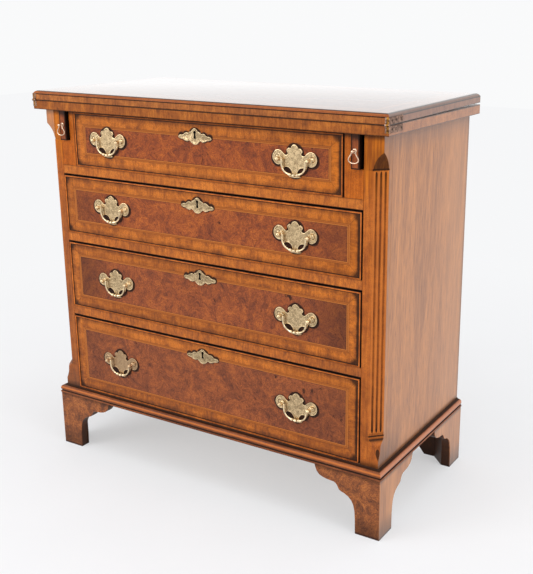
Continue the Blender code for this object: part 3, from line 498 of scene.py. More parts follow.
def rail_polish(name, low, high, shift, lift):
    """Finish of one rail between its heights: pieced leaves on the facing, with painted shade along the
    edges beside the drawer gaps, and plain wood behind."""
    polish, colour, figure, pores = walnut_front(name, "z", (0.25, 0.074, 0.024), (0.50, 0.140, 0.025),
                                                 (0.70, 0.215, 0.032), shift, 520.0, 150.0, 0.10, lift)
    colour = leaves_of(polish, colour, polish.x, 9.0, shift)
    # Painted shade along the rail's lower and upper edges, beside the drawer gaps.
    dark = (polish.z - low).between(0.0022, 0.0008) * 0.95
    dark = larger(dark, polish.z.between(high - 0.003, high) * 0.30)
    colour = colour.stained(dark * abs(polish.x).between(bay_half_width + 0.0015, bay_half_width))
    inside = polish.y.between(front_y + facing_depth, front_y + facing_depth + 0.001)
    plain = polish.tones(figure, (0.3, (0.30, 0.18, 0.09)), (0.7, (0.52, 0.36, 0.20)))
    colour = colour.stained(inside, plain)
    return polish.laid(colour, figure.scaled(-0.15, 0.42), pores)


for number, lift in ((1, 0.035), (2, 0.0), (3, -0.030)):
    name = "rail_%d" % number
    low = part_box(name)[0]
    eased(name,
          rail_polish(name + "_walnut", low.z, low.z + rail_thickness, number * 3.7, lift), 0.0005)

# Guide stiles and loper channels
# A slim walnut stile stands on each side of the top drawer and turns under the loper's slot. The bed and the
# walls that the loper slides between are plain wood, glued behind it.

stile_inner, stile_depth = 0.3016, 0.0195
polish, colour, figure, pores = walnut_front("stile_walnut", "z", (0.26, 0.060, 0.006), (0.47, 0.108, 0.008),
                                             (0.61, 0.160, 0.014), 9.0)
# Painted shade under the top.
colour = colour.stained(polish.z.between(carcass_top - shade_depth_under_top, carcass_top - 0.003) * 0.8)
# Painted shade along the inner edge, beside the top drawer's gap.
colour = colour.stained(abs(polish.x).between(stile_inner + 0.002, stile_inner) * 0.75)
inside = polish.y.between(front_y + stile_depth, front_y + stile_depth + 0.001)
colour = colour.stained(inside, (0.38, 0.25, 0.13))
polish.laid(colour, figure.scaled(-0.15, 0.42), pores)
for side in ("left", "right"):
    eased(side + "_loper_channel", polish, 0.0005)

# Base moulding
# A run moulding of solid walnut round the front and sides, mitred at the front corners and glued over the
# joint of the carcass and feet. Painted shade lies nearly black in its quirks and cove, and a painted
# highlight runs along its bead.


def spline(knots, steps, closed=False):
    """Smooth curve through knots, in steps per span, passing each along the line between its neighbours."""
    knots = np.asarray(knots, float)
    before = knots[-1:] if closed else 2 * knots[:1] - knots[1:2]
    past = knots[:2] if closed else 2 * knots[-1:] - knots[-2:-1]
    held = np.concatenate([before, knots, past])
    a, b, c, d = held[:-3], held[1:-2], held[2:-1], held[3:]
    t = (np.arange(steps) / steps)[:, None, None]
    curve = b + 0.5 * t * (c - a + t * (2 * a - 5 * b + 4 * c - d + t * (3 * b - a - 3 * c + d)))
    curve = curve.transpose(1, 0, 2).reshape(-1, knots.shape[1])
    return curve if closed else np.concatenate([curve, knots[-1:]])


moulding_reach, moulding_height = 0.0105, 0.0185
bead_shares = ((0.80, 0.30), (0.90, 0.36), (0.96, 0.46), (0.95, 0.60), (0.86, 0.74), (0.70, 0.83))
cove_shares = ((0.50, 0.865), (0.34, 0.885), (0.20, 0.92), (0.11, 0.97), (0.06, 1.0))
section = np.concatenate([[(0.03, 0.0), (0.97, 0.0), (1.0, 0.02), (1.0, 0.18), (0.97, 0.20), (0.86, 0.22)],
                          spline(bead_shares, 5), spline(cove_shares, 4), [(0.03, 1.0)]])
reach, rise = section[:, 0] * moulding_reach, section[:, 1] * moulding_height
stations = [np.stack([side * (carcass_half + reach), np.full_like(reach, back_y) if back else front_y - reach,
                      carcass_base + rise], axis=-1) for side, back in ((-1, 1), (-1, 0), (1, 0), (1, 1))]
polish, colour, figure, pores = walnut_front("moulding_walnut", "x", (0.13, 0.040, 0.018),
                                             (0.24, 0.072, 0.026), (0.35, 0.110, 0.036), 12.0)
height = (polish.z - carcass_base) / moulding_height
# Painted highlight along the bead.
colour = colour.stained(height.band(0.58, 0.68, 0.07) * 0.75, (0.62, 0.180, 0.040))
# Painted shade in the quirks, the cove and along the foot.
quirk = larger(larger(height.band(0.22, 0.31, 0.05), height.band(0.87, 1.05, 0.03)),
               height.between(0.06, 0.0))
colour = colour.stained(quirk * 0.9)
# Painted light: on the sides the bead is painted lighter than on the front; its coat is real gloss.
beside = abs(polish.x) - carcass_half > front_y - polish.y
beside_bead = beside * height.band(0.44, 0.80, 0.06)
colour = colour.stained(beside_bead * 0.60, (0.58, 0.225, 0.115))
polish.gloss(Coat_Weight=beside_bead * 0.55, Coat_Roughness=haze_roughness)
polish.laid(colour, quirk.scaled(0.25, 0.3), pores, 0.1, 0.0002)
made("base_bead", [skin(np.stack(stations))], "carcass", ["base_moulding"], "walnut", polish, 38.0)

# Bracket feet
# Each foot is two sawn brackets mitred at the corner and backed by a glue block, faced with burr on the front
# and plain walnut on the sides. The bottoms are darker, and painted shade darkens the insides.


def burr(polish, dark, middle, light, shift):
    """Burr walnut: clouds of tone pulled about by slow swirls, tight curls, dark eyes in loose clusters."""
    drift = polish.out("TexNoise", "Color", Vector=polish.place, Scale=19.0, Detail=2.0)
    pulled = polish.node("VectorMath", {"operation": "MULTIPLY_ADD"})
    swirl = polish.filled(pulled, 0, {0: drift, 1: (0.075, 0.075, 0.075), 2: polish.place})
    clouds = polish.cloud(38.0, 6.0, 0.68, 0.3, swirl, shift)
    curls = polish.cloud(240.0, 4.0, 0.7, 0.7, swirl, shift + 5.0)
    tone = clouds * 0.56 + curls * 0.44
    colour = polish.tones(tone, (0.37, dark), (0.49, middle), (0.61, light))
    speckle = polish.cloud(620.0, 3.0, 0.65, shift=shift)
    colour = colour.stained(speckle.between(0.48, 0.62) * 0.54, (0.075, 0.028, 0.016))
    eyes = polish.out("TexVoronoi", "Distance", Vector=swirl, Scale=95.0)
    cluster = polish.cloud(22.0, 2.0, 0.5, shift=shift + 9.0)
    spots = eyes.between(0.30, 0.10) * cluster.between(0.50, 0.66)
    return colour.stained(spots * 0.65, (0.06, 0.014, 0.006)), tone


polish = Polish("foot_burr", 0.36)
colour, tone = burr(polish, (0.10, 0.040, 0.025), (0.31, 0.100, 0.036), (0.54, 0.184, 0.052), 6.0)
foot_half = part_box("right_front_foot")[1].x
foot_inner_half, foot_inner_front = 0.3815, front_y - 0.0075
out = abs(polish.x)
on_side = out.between(foot_half - 0.0012, foot_half - 0.0006)
figure, pores = polish.figure("z", shift=15.0, fine=300.0)
plain = polish.tones(figure, (0.36, (0.29, 0.105, 0.034)), (0.5, (0.46, 0.180, 0.056)),
                          (0.62, (0.58, 0.240, 0.080)))
colour = colour.stained(on_side, plain)
polish.gloss(Coat_Weight=on_side * 0.40, Coat_Roughness=haze_roughness,
             Specular_IOR_Level=on_side.scaled(0.38, 0.12))
low = larger(polish.z.between(0.050, 0.006) * 0.60, polish.z.between(0.010, 0.002) * 0.90)
colour = colour.stained(low, (0.035, 0.014, 0.009))
mitre = out.between(0.388, 0.397) * (1.0 - on_side)
colour = colour.stained(mitre * 0.45, (0.045, 0.018, 0.010))
colour = colour.stained(polish.z.between(0.108, 0.117) * 0.6)
# Painted shade on the insides of the feet, under the chest.
inside = out.between(foot_inner_half + 0.001, foot_inner_half)
inside = inside * polish.y.between(foot_inner_front - 0.001, foot_inner_front)
colour = colour.stained(inside * 0.86, (0.035, 0.015, 0.009))
polish.laid(colour, tone.scaled(0.2, 0.22), tone, 0.10, 0.0003)
for name in ("left_front", "right_front", "left_rear", "right_rear"):
    eased(name + "_foot", polish, 0.0010, 2, 32.0)

# Lopers
# Two slim bars beside the top drawer that draw out to carry the open leaf. Their ends are polished walnut
# with painted shade along their edges, under the top and on their sides inside the slot, and the bars behind
# them are plain.

recess_depth = 0.0175
polish, colour, figure, pores = walnut_front("loper_walnut", "z", (0.12, 0.034, 0.014), (0.28, 0.070, 0.022),
                                             (0.42, 0.110, 0.030), 21.0)
low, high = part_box("right_loper")
along = abs(polish.x)
# Painted shade: along the end's sides and foot in its slot, under the top, and on the sides behind the end as
# far as the slot's depth.
close = smaller(smaller(along - low.x, high.x - along), polish.z - low.z)
colour = colour.stained(close.between(0.0036, 0.0014) * 0.9)
colour = colour.stained(polish.z.between(high.z - 0.016, high.z - 0.005) * 0.85)
colour = colour.stained(polish.y.between(low.y + 0.0006, low.y + 0.0016) * 0.93)
inside = polish.y.between(low.y + recess_depth, low.y + recess_depth + 0.001)
colour = colour.stained(inside, (0.40, 0.26, 0.14))
polish.laid(colour, figure.scaled(-0.15, 0.42), pores)
for side in ("left", "right"):
    eased(side + "_loper", polish, 0.0007)

# Fold-over top
# Two walnut leaves hinged along the front edge. Their faces are veneered with figured walnut inside a feather
# band and a cross-grained border; the edges are solid, and a moulding is worked round the upper leaf.

leaf_low, leaf_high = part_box("fixed_leaf")
leaf_middle_y = (leaf_low.y + leaf_high.y) / 2
leaf_half_y = (leaf_high.y - leaf_low.y) / 2
leaf_warp = math.radians(0.45)
leaf_stains = ((0.05, 0.014, 0.006), (0.11, 0.034, 0.012), (0.17, 0.058, 0.020))
band_start, band_end = 0.0440, 0.0480


def turned_grain(polish, share):
    """Place on the piece with x and z changed over where share is 1, so that one figure runs both ways."""
    swapped = polish.out("CombineXYZ", 0, X=polish.z, Y=polish.y, Z=polish.x)
    return polish.filled(polish.node("Mix", {"data_type": "VECTOR"}), 1,
                         {0: share, 4: polish.place, 5: swapped})


def leaf_polish(name, edges, shift):
    """Finish of one leaf: glossy veneered faces, and cross-grained edges with a front and a side colour."""
    polish = Polish(name, 0.30)
    gap_x = leaf_high.x - abs(polish.x)
    gap_y = leaf_half_y - abs(polish.y - leaf_middle_y)
    close = smaller(gap_x, gap_y)
    field, tone = burr(polish, *leaf_stains, shift)
    figure = polish.figure("y", None, shift, 420.0, run=0.05)[0]
    border = polish.tones(figure, (0.37, (0.09, 0.026, 0.008)), (0.5, (0.16, 0.050, 0.014)),
                          (0.62, (0.22, 0.075, 0.020)))
    face = polish.mixed(close.between(band_end, band_end + 0.0004), border, field)
    face = face.stained(close.band(band_start, band_end, 0.0003), (0.22, 0.080, 0.024))
    streaks = polish.figure("z", None, shift + 2.0, 620.0, 160.0, 0.10)[0]
    patches = polish.cloud(36.0, 4.0, 0.65, 0.4, shift=shift)
    streaks = streaks * 0.55 + patches * 0.45
    on_side = gap_x < gap_y
    front, side = edges
    edge = polish.mixed(on_side, polish.tones(streaks, *front), polish.tones(streaks, *side))
    run = polish.mixed(on_side, *(polish.out("CombineXYZ", 0, X=way) for way in (polish.x, polish.y)))
    edge = leaves_of(polish, edge, polish.split(run)[0], 8.0, shift, 0.4)
    speckle = polish.cloud(640.0, 3.0, 0.6, shift=shift)
    edge = edge.stained(speckle.between(0.50, 0.68) * 0.4, (0.09, 0.024, 0.006))
    on_edge = close.between(0.0090, 0.0084)
    polish.gloss(Coat_Weight=1.0 - on_edge * on_side.scaled(-side_haze, 1.0), Coat_IOR=1.9,
                 Coat_Roughness=on_edge.scaled(0.18, 0.035),
                 Specular_IOR_Level=1.0 - on_edge * on_side.scaled(-0.4, 0.9))
    return polish, polish.mixed(on_edge, face, edge), close, tone, streaks, on_side


front_tones = ((0.38, (0.19, 0.058, 0.018)), (0.50, (0.36, 0.105, 0.022)), (0.60, (0.54, 0.175, 0.030)))
polish, colour, close, tone, figure, on_side = leaf_polish("lower_leaf", (front_tones, (
    (0.38, (0.26, 0.085, 0.026)), (0.50, (0.42, 0.150, 0.042)), (0.62, (0.54, 0.205, 0.060)))), 31.0)
# Painted shade along the edge's top arris, at the joint under the upper leaf, and along its bottom arris.
dark = larger(polish.z.between(leaf_high.z - 0.0024, leaf_high.z - 0.0006),
              polish.z.between(leaf_low.z + 0.0022, leaf_low.z))
colour = colour.stained(dark * close.between(0.0028, 0.0010) * 0.85)
polish.laid(colour, figure.scaled(-0.15, 0.38), tone, 0.04, 0.0002)
eased("fixed_leaf", polish, 0.0006)

upper_front_tones = ((0.38, (0.20, 0.070, 0.028)), (0.50, (0.39, 0.128, 0.036)), (0.60, (0.58, 0.205, 0.048)))
polish, colour, close, tone, figure, on_side = leaf_polish("upper_leaf", (upper_front_tones, (
    (0.38, (0.14, 0.060, 0.034)), (0.50, (0.26, 0.115, 0.062)), (0.62, (0.34, 0.155, 0.085)))), 43.0)
upper_thickness, hinge_line_y = 0.0178, -0.1914
leaf_rise = upper_thickness - math.tan(leaf_warp) * hinge_line_y
drop = leaf_high.z + leaf_rise - polish.y.scaled(-math.tan(leaf_warp), polish.z)
# Painted shade on the moulded band, darker and greyer on the side.
moulded = drop.band(0.0012, 0.0048, 0.0006)
moulding_tone = polish.mixed(on_side, (0.28, 0.075, 0.022), (0.10, 0.048, 0.030))
colour = colour.stained(moulded * 0.65, moulding_tone)
# Painted shade in dark lines: below the moulding, along the top arris, and at the joint above the lower leaf.
lines = larger(drop.band(0.0052, 0.0064, 0.0007),
               drop.band(0.0001, 0.0009, 0.0004) * close.between(0.0092, 0.0080))
lines = larger(lines, drop.between(0.0158, 0.0175) * close.between(0.0028, 0.0010))
colour = colour.stained(lines * 0.9)
polish.laid(colour, figure.scaled(-0.15, 0.38), tone, 0.04, 0.0002)
eased("folding_leaf", polish, 0.0004)

# Card-table hinges
# Brass straps let into the ends of both leaves, with a knuckle in front on the line where the leaves meet.
# Each strap has three countersunk screws whose slots stand at odd angles.

strap_outer, axis_reach = 0.3909, 0.01615
screw_radius, screw_dome, slot_depth, screw_sunk = 0.0021, 0.00028, 0.0006, 0.0012


def thinned(places):
    """The strap a little thinner on its outer face, so that the screw heads stay within the solid's reach."""
    places[:, 0] = np.clip(places[:, 0], -strap_outer, strap_outer)
    return places


def aged_brass(name, colour, patina, roughness, engraved=False):
    """Cast brass: bright where it is rubbed, brown in its hollows; patina names the mark that tells which."""
    polish = Polish(name, roughness, Metallic=1.0)
    mottle = polish.cloud(160.0, 4.0, 0.6, 0.5)
    fine = polish.cloud(900.0, 3.0, 0.6)
    metal = polish.mixed(mottle.between(0.42, 0.62), colour, tuple(0.62 * part for part in colour))
    height = fine
    if patina:
        deep = polish.mark(patina)
        if engraved:
            drift = polish.cloud(210.0, 2.0, 0.5, 2.0)
            lines = abs(drift - 0.5).between(0.060, 0.020) * deep
            metal = metal.stained(lines * 0.9, (0.12, 0.070, 0.030))
            height = fine * 0.25 - lines
            low_left = polish.z.between(0.290, 0.250) * polish.x.between(-0.10, -0.14)
            metal = metal.stained(low_left * 0.6, (0.42, 0.24, 0.14))
        metal = metal.stained(deep * 0.40, (0.22, 0.135, 0.062))
        # Painted shade: where the mark is deepest, on a keyhole's wall, the brass is near black.
        metal = metal.stained(deep.between(1.9, 2.6))
    return polish.laid(metal, mottle.scaled(0.22, roughness - 0.08), height, 0.35, 0.0002)


hinge_brass = Polish("hinge_brass", 0.38, Metallic=1.0)
mottle = hinge_brass.cloud(260.0, 4.0, 0.65)
dull = hinge_brass.tones(mottle, (0.42, (0.17, 0.095, 0.066)), (0.60, (0.42, 0.265, 0.195)))
rubbed = hinge_brass.tones(mottle, (0.44, (0.08, 0.034, 0.012)), (0.60, (0.56, 0.26, 0.045)))
worn = (hinge_brass.y.between(front_y - 0.0148, front_y - 0.0153)
        * abs(hinge_brass.x).band(0.3855, 0.3889, 0.0007))
# The left hinges' rubbed brass is darker.
left_darkening = hinge_brass.x.between(-0.1, -0.3) * 0.72
rubbed = rubbed.stained(left_darkening, (0.20, 0.095, 0.035))
hinge_brass.laid(hinge_brass.mixed(worn, dull, rubbed), mottle.scaled(0.5, 0.25), mottle, 0.3, 0.0003)
for side in ("left", "right"):
    for half in ("lower", "upper"):
        eased(side + "_hinge_" + half, hinge_brass, 0.0004, 2, 50.0, thinned)


def screw_head(turn):
    """Round head in its own plane, from a square grid bent to a disc; it domes toward the middle and a slot
    crosses it. Returns the grid of across, up and outward distances."""
    lines = np.array([-1, -0.85, -0.6, -0.35, -0.18, -0.15, 0.15, 0.18, 0.35, 0.6, 0.85, 1])
    u, v = np.meshgrid(lines, lines, indexing="ij")
    across, up = u * np.sqrt(1 - v ** 2 / 2), v * np.sqrt(1 - u ** 2 / 2)
    out = screw_dome * (1 - 0.6 * (across ** 2 + up ** 2)) - slot_depth * (abs(u) < 0.16)
    spin = np.array([[math.cos(turn), -math.sin(turn)], [math.sin(turn), math.cos(turn)]])
    flat = np.stack([across, up], -1) @ spin.T * screw_radius
    return np.concatenate([flat, out[..., None]], -1)


def slab(near, far):
    """Closed body between two grids of points that share their order, joined round their borders."""
    rows, columns = near.shape[:2]
    number = np.arange(rows * columns).reshape(rows, columns)
    quads = np.stack([number[:-1, :-1], number[1:, :-1], number[1:, 1:], number[:-1, 1:]], -1).reshape(-1, 4)
    rim = np.concatenate([number[0, :-1], number[:-1, -1], number[-1, :0:-1], number[:0:-1, 0]])
    after = np.roll(rim, -1)
    shift = rows * columns
    walls = np.stack([rim, after, after + shift, rim + shift], -1)
    faces = quads.tolist() + (quads[:, ::-1] + shift).tolist() + walls.tolist()
    return np.concatenate([near.reshape(-1, 3), far.reshape(-1, 3)]), faces


joint_line = leaf_high.z + 0.00015
polish = aged_brass("screw_brass", (0.08, 0.044, 0.028), None, 0.42)
for side_name, side in (("left", -1), ("right", 1)):
    for half, body, height in (("lower", "carcass", -0.0069), ("upper", "folding_leaf", 0.0069)):
        shells = []
        for away, turn in ((-0.0070, 0.5), (0.0066, 1.9), (0.0246, 1.1)):
            head = screw_head(turn + height * 90)
            far = head * (1, 1, 0) - (0, 0, screw_sunk)
            grids = []
            for grid in (head, far):
                y, z = away + grid[..., 0] + axis_reach, height + grid[..., 1]
                if half == "upper":
                    y, z = (y * math.cos(leaf_warp) - z * math.sin(leaf_warp),
                            y * math.sin(leaf_warp) + z * math.cos(leaf_warp))
                grids.append(np.stack([side * (strap_outer + grid[..., 2]), front_y - axis_reach + y,
                                       joint_line + z], -1))
            shells.append(slab(*grids))
        made("%s_hinge_screws_%s" % (side_name, half), shells, body, [], "brass", polish, 30.0)

# Drawer fronts
# Each front has a burr panel inside a feather band, a border of cross-grained walnut mitred at the corners,
# and a rounded bead set in its edge. Old polish lies dark inside the bead; round every mount it lies dark
# with a painted shadow, and painted shade darkens the gaps round the front and its keyhole.

bead_width = 0.0032
border_middle, border_reach, band_reach = 0.0145, 0.0232, 0.0278
brass_offset, handle_spread = -0.004, 0.21075
plate_lobes = ((0.0, 0.0095, 0.0155), (0.0335, 0.0, 0.0120), (0.0, -0.0150, 0.0165), (0.0165, -0.001, 0.0075),
               (0.013, -0.013, 0.011))
escutcheon_lobes = ((0.0, -0.0015, 0.0125), (0.0195, -0.0035, 0.0072), (0.0320, -0.0035, 0.0042))


def from_lobes(polish, across, up, lobes):
    """Distance outside an outline built up from circles, each with its place across, up and its radius."""
    spot = polish.out("CombineXYZ", 0, X=across, Z=up)
    nearest = None
    for x, z, radius in lobes:
        away = polish.node("VectorMath", {"operation": "DISTANCE"})
        gap = polish.filled(away, "Value", {0: spot, 1: (x, 0.0, z)}) - radius
        nearest = gap if nearest is None else smaller(nearest, gap)
    return nearest


def front_polish(number, key_height, handle_height, panel, ends, lift, fall, golden_share, knots, shift):
    """Finish of one drawer front, by the distance in from its edges; ends says how far the panel darkens
    toward both ends, lift how far the border lightens, fall how far its foot darkens, golden_share how golden
    its right end is, and knots are dark spots, each with its place and radius."""
    low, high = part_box("drawer_%d_front" % number)
    polish = Polish("drawer_%d_veneers" % number, 0.32, Specular_IOR_Level=0.12)
    from_side = high.x - abs(polish.x)
    from_level = smaller(high.z - polish.z, polish.z - low.z)
    close = smaller(from_side, from_level)
    at_side = from_side < from_level

    grain_place = turned_grain(polish, at_side)
    figure, pores = polish.figure("z", grain_place, shift, 620.0, 170.0, 0.10)
    patches = polish.cloud(34.0, 6.0, 0.75, 0.3, grain_place, shift + 1.0)
    light = figure * 0.37 + patches * 0.58 + abs(close - border_middle).scaled(-5.0, 0.055 + lift)
    light = light + (polish.z - low.z).scaled(2 * fall / (high.z - low.z), -fall)
    border = polish.tones(light, (0.39, (0.20, 0.060, 0.020)), (0.49, (0.40, 0.110, 0.020)),
                          (0.59, (0.66, 0.195, 0.028)))
    speckle = polish.cloud(640.0, 3.0, 0.6, shift=shift + 4.0)
    border = border.stained(speckle.between(0.47, 0.64) * 0.42, speckle_stain)
    border = leaves_of(polish, border, polish.split(grain_place)[0], 8.0, shift + 1.3, 0.65)

    golden = polish.tones(light, (0.42, (0.25, 0.062, 0.006)), (0.58, (0.62, 0.165, 0.009)))
    border = border.stained(polish.x.between(0.180, 0.330) * golden_share, golden)

    field, tone = burr(polish, *panel, shift)
    curl = polish.cloud(140.0, 3.0, 0.6, 1.0, shift=shift + 6.0)
    streak = polish.cloud((150.0, 150.0, 30.0), 4.0, 0.6, 1.6, shift=shift + 2.0)
    field = field.stained(streak.between(0.66, 0.78) * 0.55, (0.08, 0.019, 0.008))

    band_middle = (border_reach + band_reach) / 2
    outer_line = (close < band_middle) * (1.0 - at_side)
    bright = abs(close - band_middle).between(0.0009, 0.0016) * outer_line.scaled(-0.7, 1.0)
    feather = polish.mixed(bright, (0.36, 0.098, 0.018), (0.60, 0.200, 0.040))
    feather = feather.stained(speckle.between(0.50, 0.68) * 0.38, (0.09, 0.024, 0.006))

    far = abs(polish.x) + tone * 0.10
    field = field.stained(far.between(0.25, 0.36) * ends, (0.06, 0.020, 0.010))
    for x, z, radius in knots:
        off = polish.out("CombineXYZ", 0, X=polish.x - x, Z=polish.z - z)
        off = curl.scaled(0.018, polish.out("VectorMath", "Value", {"operation": "LENGTH"}, Vector=off))
        field = field.stained(off.between(radius + 0.0115, radius + 0.0075) * 0.85, (0.025, 0.012, 0.010))

    colour = polish.mixed(close.between(band_reach - 0.0002, band_reach + 0.0002), border, field)
    colour = colour.stained(close.band(border_reach, band_reach, 0.0002), feather)
    lines = larger(close.band(border_reach - 0.0004, border_reach, 0.0005),
                   close.band(band_reach, band_reach + 0.0004, 0.0005))
    mitre = (abs(from_side - from_level).between(0.0007, 0.0002)
             * close.between(band_reach, band_reach - 0.001))
    lines = larger(lines * 0.45, mitre * 0.4)
    colour = colour.stained(lines)

    reach = polish.cloud(70.0, 3.0, 0.6).scaled(0.004, -0.002)
    inner = reach.scaled(0.3, close)
    aged = inner.between(bead_width + 0.0027, bead_width + 0.0008) * 0.93
    aged = larger(aged, (high.x - polish.x + reach).between(0.0110, 0.0068) * 0.88)
    corner = polish.x.between(0.15, 0.25).scaled(-0.003, from_side + from_level + reach * 4.0)
    aged = larger(aged, corner.between(0.030, 0.015) * 0.85)
    aged = larger(aged, inner.between(0.0150, 0.0040) * 0.30)
    bead_top = polish.y.between(front_y - 0.0006, front_y - 0.0011)
    aged = aged * (1.0 - bead_top)
    colour = colour.stained(aged)
    # The bead's top: rubbed wood with a painted highlight; darker at its foot.
    rubbed = polish.tones(patches, (0.38, (0.32, 0.073, 0.012)), (0.60, (0.68, 0.185, 0.030)))
    at_foot = (polish.z - low.z).between(bead_width + 0.0006, bead_width)
    rubbed = rubbed.stained(at_foot * 0.30)
    colour = colour.stained(bead_top, rubbed)
    # Painted shade along the bead's outer edge and into the gap round the front; on the top drawer, a painted
    # shadow under the top.
    outer = smaller(from_side, high.z - polish.z).between(0.0012, 0.0005) * 0.95
    if number == 1:
        outer = larger(outer, polish.z.between(high.z - 0.0066, high.z - 0.0034) * 0.50)
    colour = colour.stained(outer)

    # Round each mount the wood is dark with old polish and a painted contact shadow.
    out = abs(polish.x - brass_offset)
    halo = from_lobes(polish, abs(out - handle_spread), polish.z - handle_height, plate_lobes)
    key_halo = from_lobes(polish, out, polish.z - key_height, escutcheon_lobes)
    halo = (smaller(halo, key_halo) + reach).between(0.0040, 0.0016)
    colour = colour.stained(halo * 0.92)
    # Painted shade: the wood behind the keyhole is painted black.
    colour = colour.stained(larger(out, abs(polish.z - key_height) * 0.4).between(0.0036, 0.0033))
    behind = (from_side < 0.0008) * polish.y.between(front_y + 0.0030, front_y + 0.0048)
    behind = larger(behind, polish.y.between(front_y + 0.0080, front_y + 0.0105))
    plain = polish.tones(figure, (0.40, (0.15, 0.066, 0.030)), (0.60, (0.27, 0.128, 0.060)))
    colour = colour.stained(behind, plain)
    return polish.laid(colour, larger(halo, aged).scaled(0.25, 0.27), tone * 0.5 - (pores + lines))


bay_floors = (0.6117, 0.4744, 0.3174, 0.1357)
bay_heights = (0.108, 0.1193, 0.139, 0.1637)
handle_rises = (0.0026, 0.0026, 0.0003, 0.0)
panel_tones = (
    ((0.14, 0.038, 0.022), (0.31, 0.073, 0.024), (0.50, 0.128, 0.027)),
    ((0.14, 0.038, 0.022), (0.32, 0.078, 0.025), (0.52, 0.138, 0.029)),
    ((0.12, 0.038, 0.023), (0.295, 0.076, 0.028), (0.48, 0.131, 0.032)),
    ((0.10, 0.034, 0.022), (0.265, 0.074, 0.030), (0.44, 0.124, 0.036)))
panel_ends = (0.10, 0.36, 0.56, 0.22)
border_lifts = (0.025, 0.010, 0.0, 0.0)
border_falls = (0.0, 0.0, 0.012, 0.046)
border_golds = (0.62, 0.40, 0.20, 0.15)
panel_knots = (
    ((0.020, 0.662, 0.0010),),
    ((-0.1146, 0.5659, 0.0012), (0.0433, 0.538, 0.0020), (0.0093, 0.4890, 0.0012)),
    ((0.1850, 0.4270, 0.0022), (0.1910, 0.4235, 0.0022), (0.1970, 0.4195, 0.0022), (0.0287, 0.3894, 0.0014)),
    ((0.2220, 0.2495, 0.0036), (0.2400, 0.2530, 0.0026), (0.2560, 0.2620, 0.0024), (0.2830, 0.2150, 0.0016),
     (0.3000, 0.2120, 0.0014), (0.1620, 0.2630, 0.0020), (0.2420, 0.2090, 0.0040)))
key_drop, gap_below, gap_above = 0.026, 0.0003, 0.0022
key_heights = [floor + height - key_drop for floor, height in zip(bay_floors, bay_heights)]
handle_heights = [floor + (gap_below + height - gap_above) / 2 + rise
                  for floor, height, rise in zip(bay_floors, bay_heights, handle_rises)]
fronts = zip(key_heights, handle_heights, panel_tones, panel_ends, border_lifts, border_falls, border_golds,
             panel_knots)
for number, details in enumerate(fronts, start=1):
    eased("drawer_%d_front" % number, front_polish(number, *details, 11.0 * number), 0.0010, 3)

# Drawer boxes and locks
# The boxes are thin plain boards, dovetailed and waxed only where they slide. Each lock is an iron case let
# into the back of its front, brown with handling.

box_wood = Polish("drawer_linings", 0.55, Specular_IOR_Level=0.3)
figure, pores = box_wood.figure("y", fine=300.0, broad=40.0)
colour = box_wood.tones(figure, (0.30, (0.33, 0.20, 0.10)), (0.50, (0.47, 0.31, 0.165)),
                        (0.68, (0.57, 0.40, 0.23)))
wear = box_wood.cloud(14.0, 3.0, 0.6)
colour = colour.stained(wear.between(0.50, 0.75), (0.34, 0.21, 0.11))
box_wood.laid(colour.stained(pores * 0.35, (0.15, 0.075, 0.03)), wear.scaled(0.2, 0.45), pores, 0.25, 0.0003)
lock_iron = Polish("lock_iron", 0.45, Metallic=1.0)
scale = lock_iron.cloud(240.0, 4.0, 0.65)
rust = lock_iron.tones(scale, (0.35, (0.10, 0.075, 0.055)), (0.65, (0.30, 0.27, 0.24)))
lock_iron.laid(rust, scale.scaled(0.35, 0.28), scale, 0.3, 0.0002)
for number in (1, 2, 3, 4):
    eased("drawer_%d_box" % number, box_wood, 0.0008)
    eased("drawer_%d_lock" % number, lock_iron, 0.0004)

# Handles
# Bat-wing plates cast in brass with a raised rim and an engraved field. Two ball-ended posts pass through
# each plate, and a swan-neck bail with a bead in its middle hangs in holes in their necks.

plate_half_width, plate_height = 0.0442, 0.0562
plate_back, plate_face = 0.0003, 0.0020
post_spacing, pivot_reach = 0.060, 0.006
plate_shares = (
    (0.0, 0.445), (0.06, 0.436), (0.118, 0.402), (0.163, 0.36), (0.188, 0.326), (0.25, 0.338),
    (0.33, 0.302), (0.355, 0.26), (0.339, 0.219), (0.299, 0.175), (0.33, 0.133), (0.389, 0.116),
    (0.457, 0.135), (0.593, 0.228), (0.679, 0.256), (0.769, 0.262), (0.86, 0.237), (0.934, 0.181),
    (0.984, 0.107), (1.0, 0.027), (0.98, -0.053), (0.923, -0.125), (0.837, -0.174), (0.747, -0.192),
    (0.661, -0.181), (0.602, -0.146), (0.552, -0.231), (0.511, -0.288), (0.466, -0.267), (0.373, -0.244),
    (0.271, -0.26), (0.195, -0.301), (0.143, -0.359), (0.12, -0.423), (0.14, -0.463), (0.204, -0.484),
    (0.271, -0.52), (0.217, -0.541), (0.113, -0.55), (0.0, -0.555))


def outline(shares, half_width, height, steps):
    """Closed smooth outline from its right half's shares, from the top down and back up the left."""
    right = np.array(shares) * (half_width, height)
    return spline(np.concatenate([right, right[-2:0:-1] * (-1, 1)]), steps, closed=True)


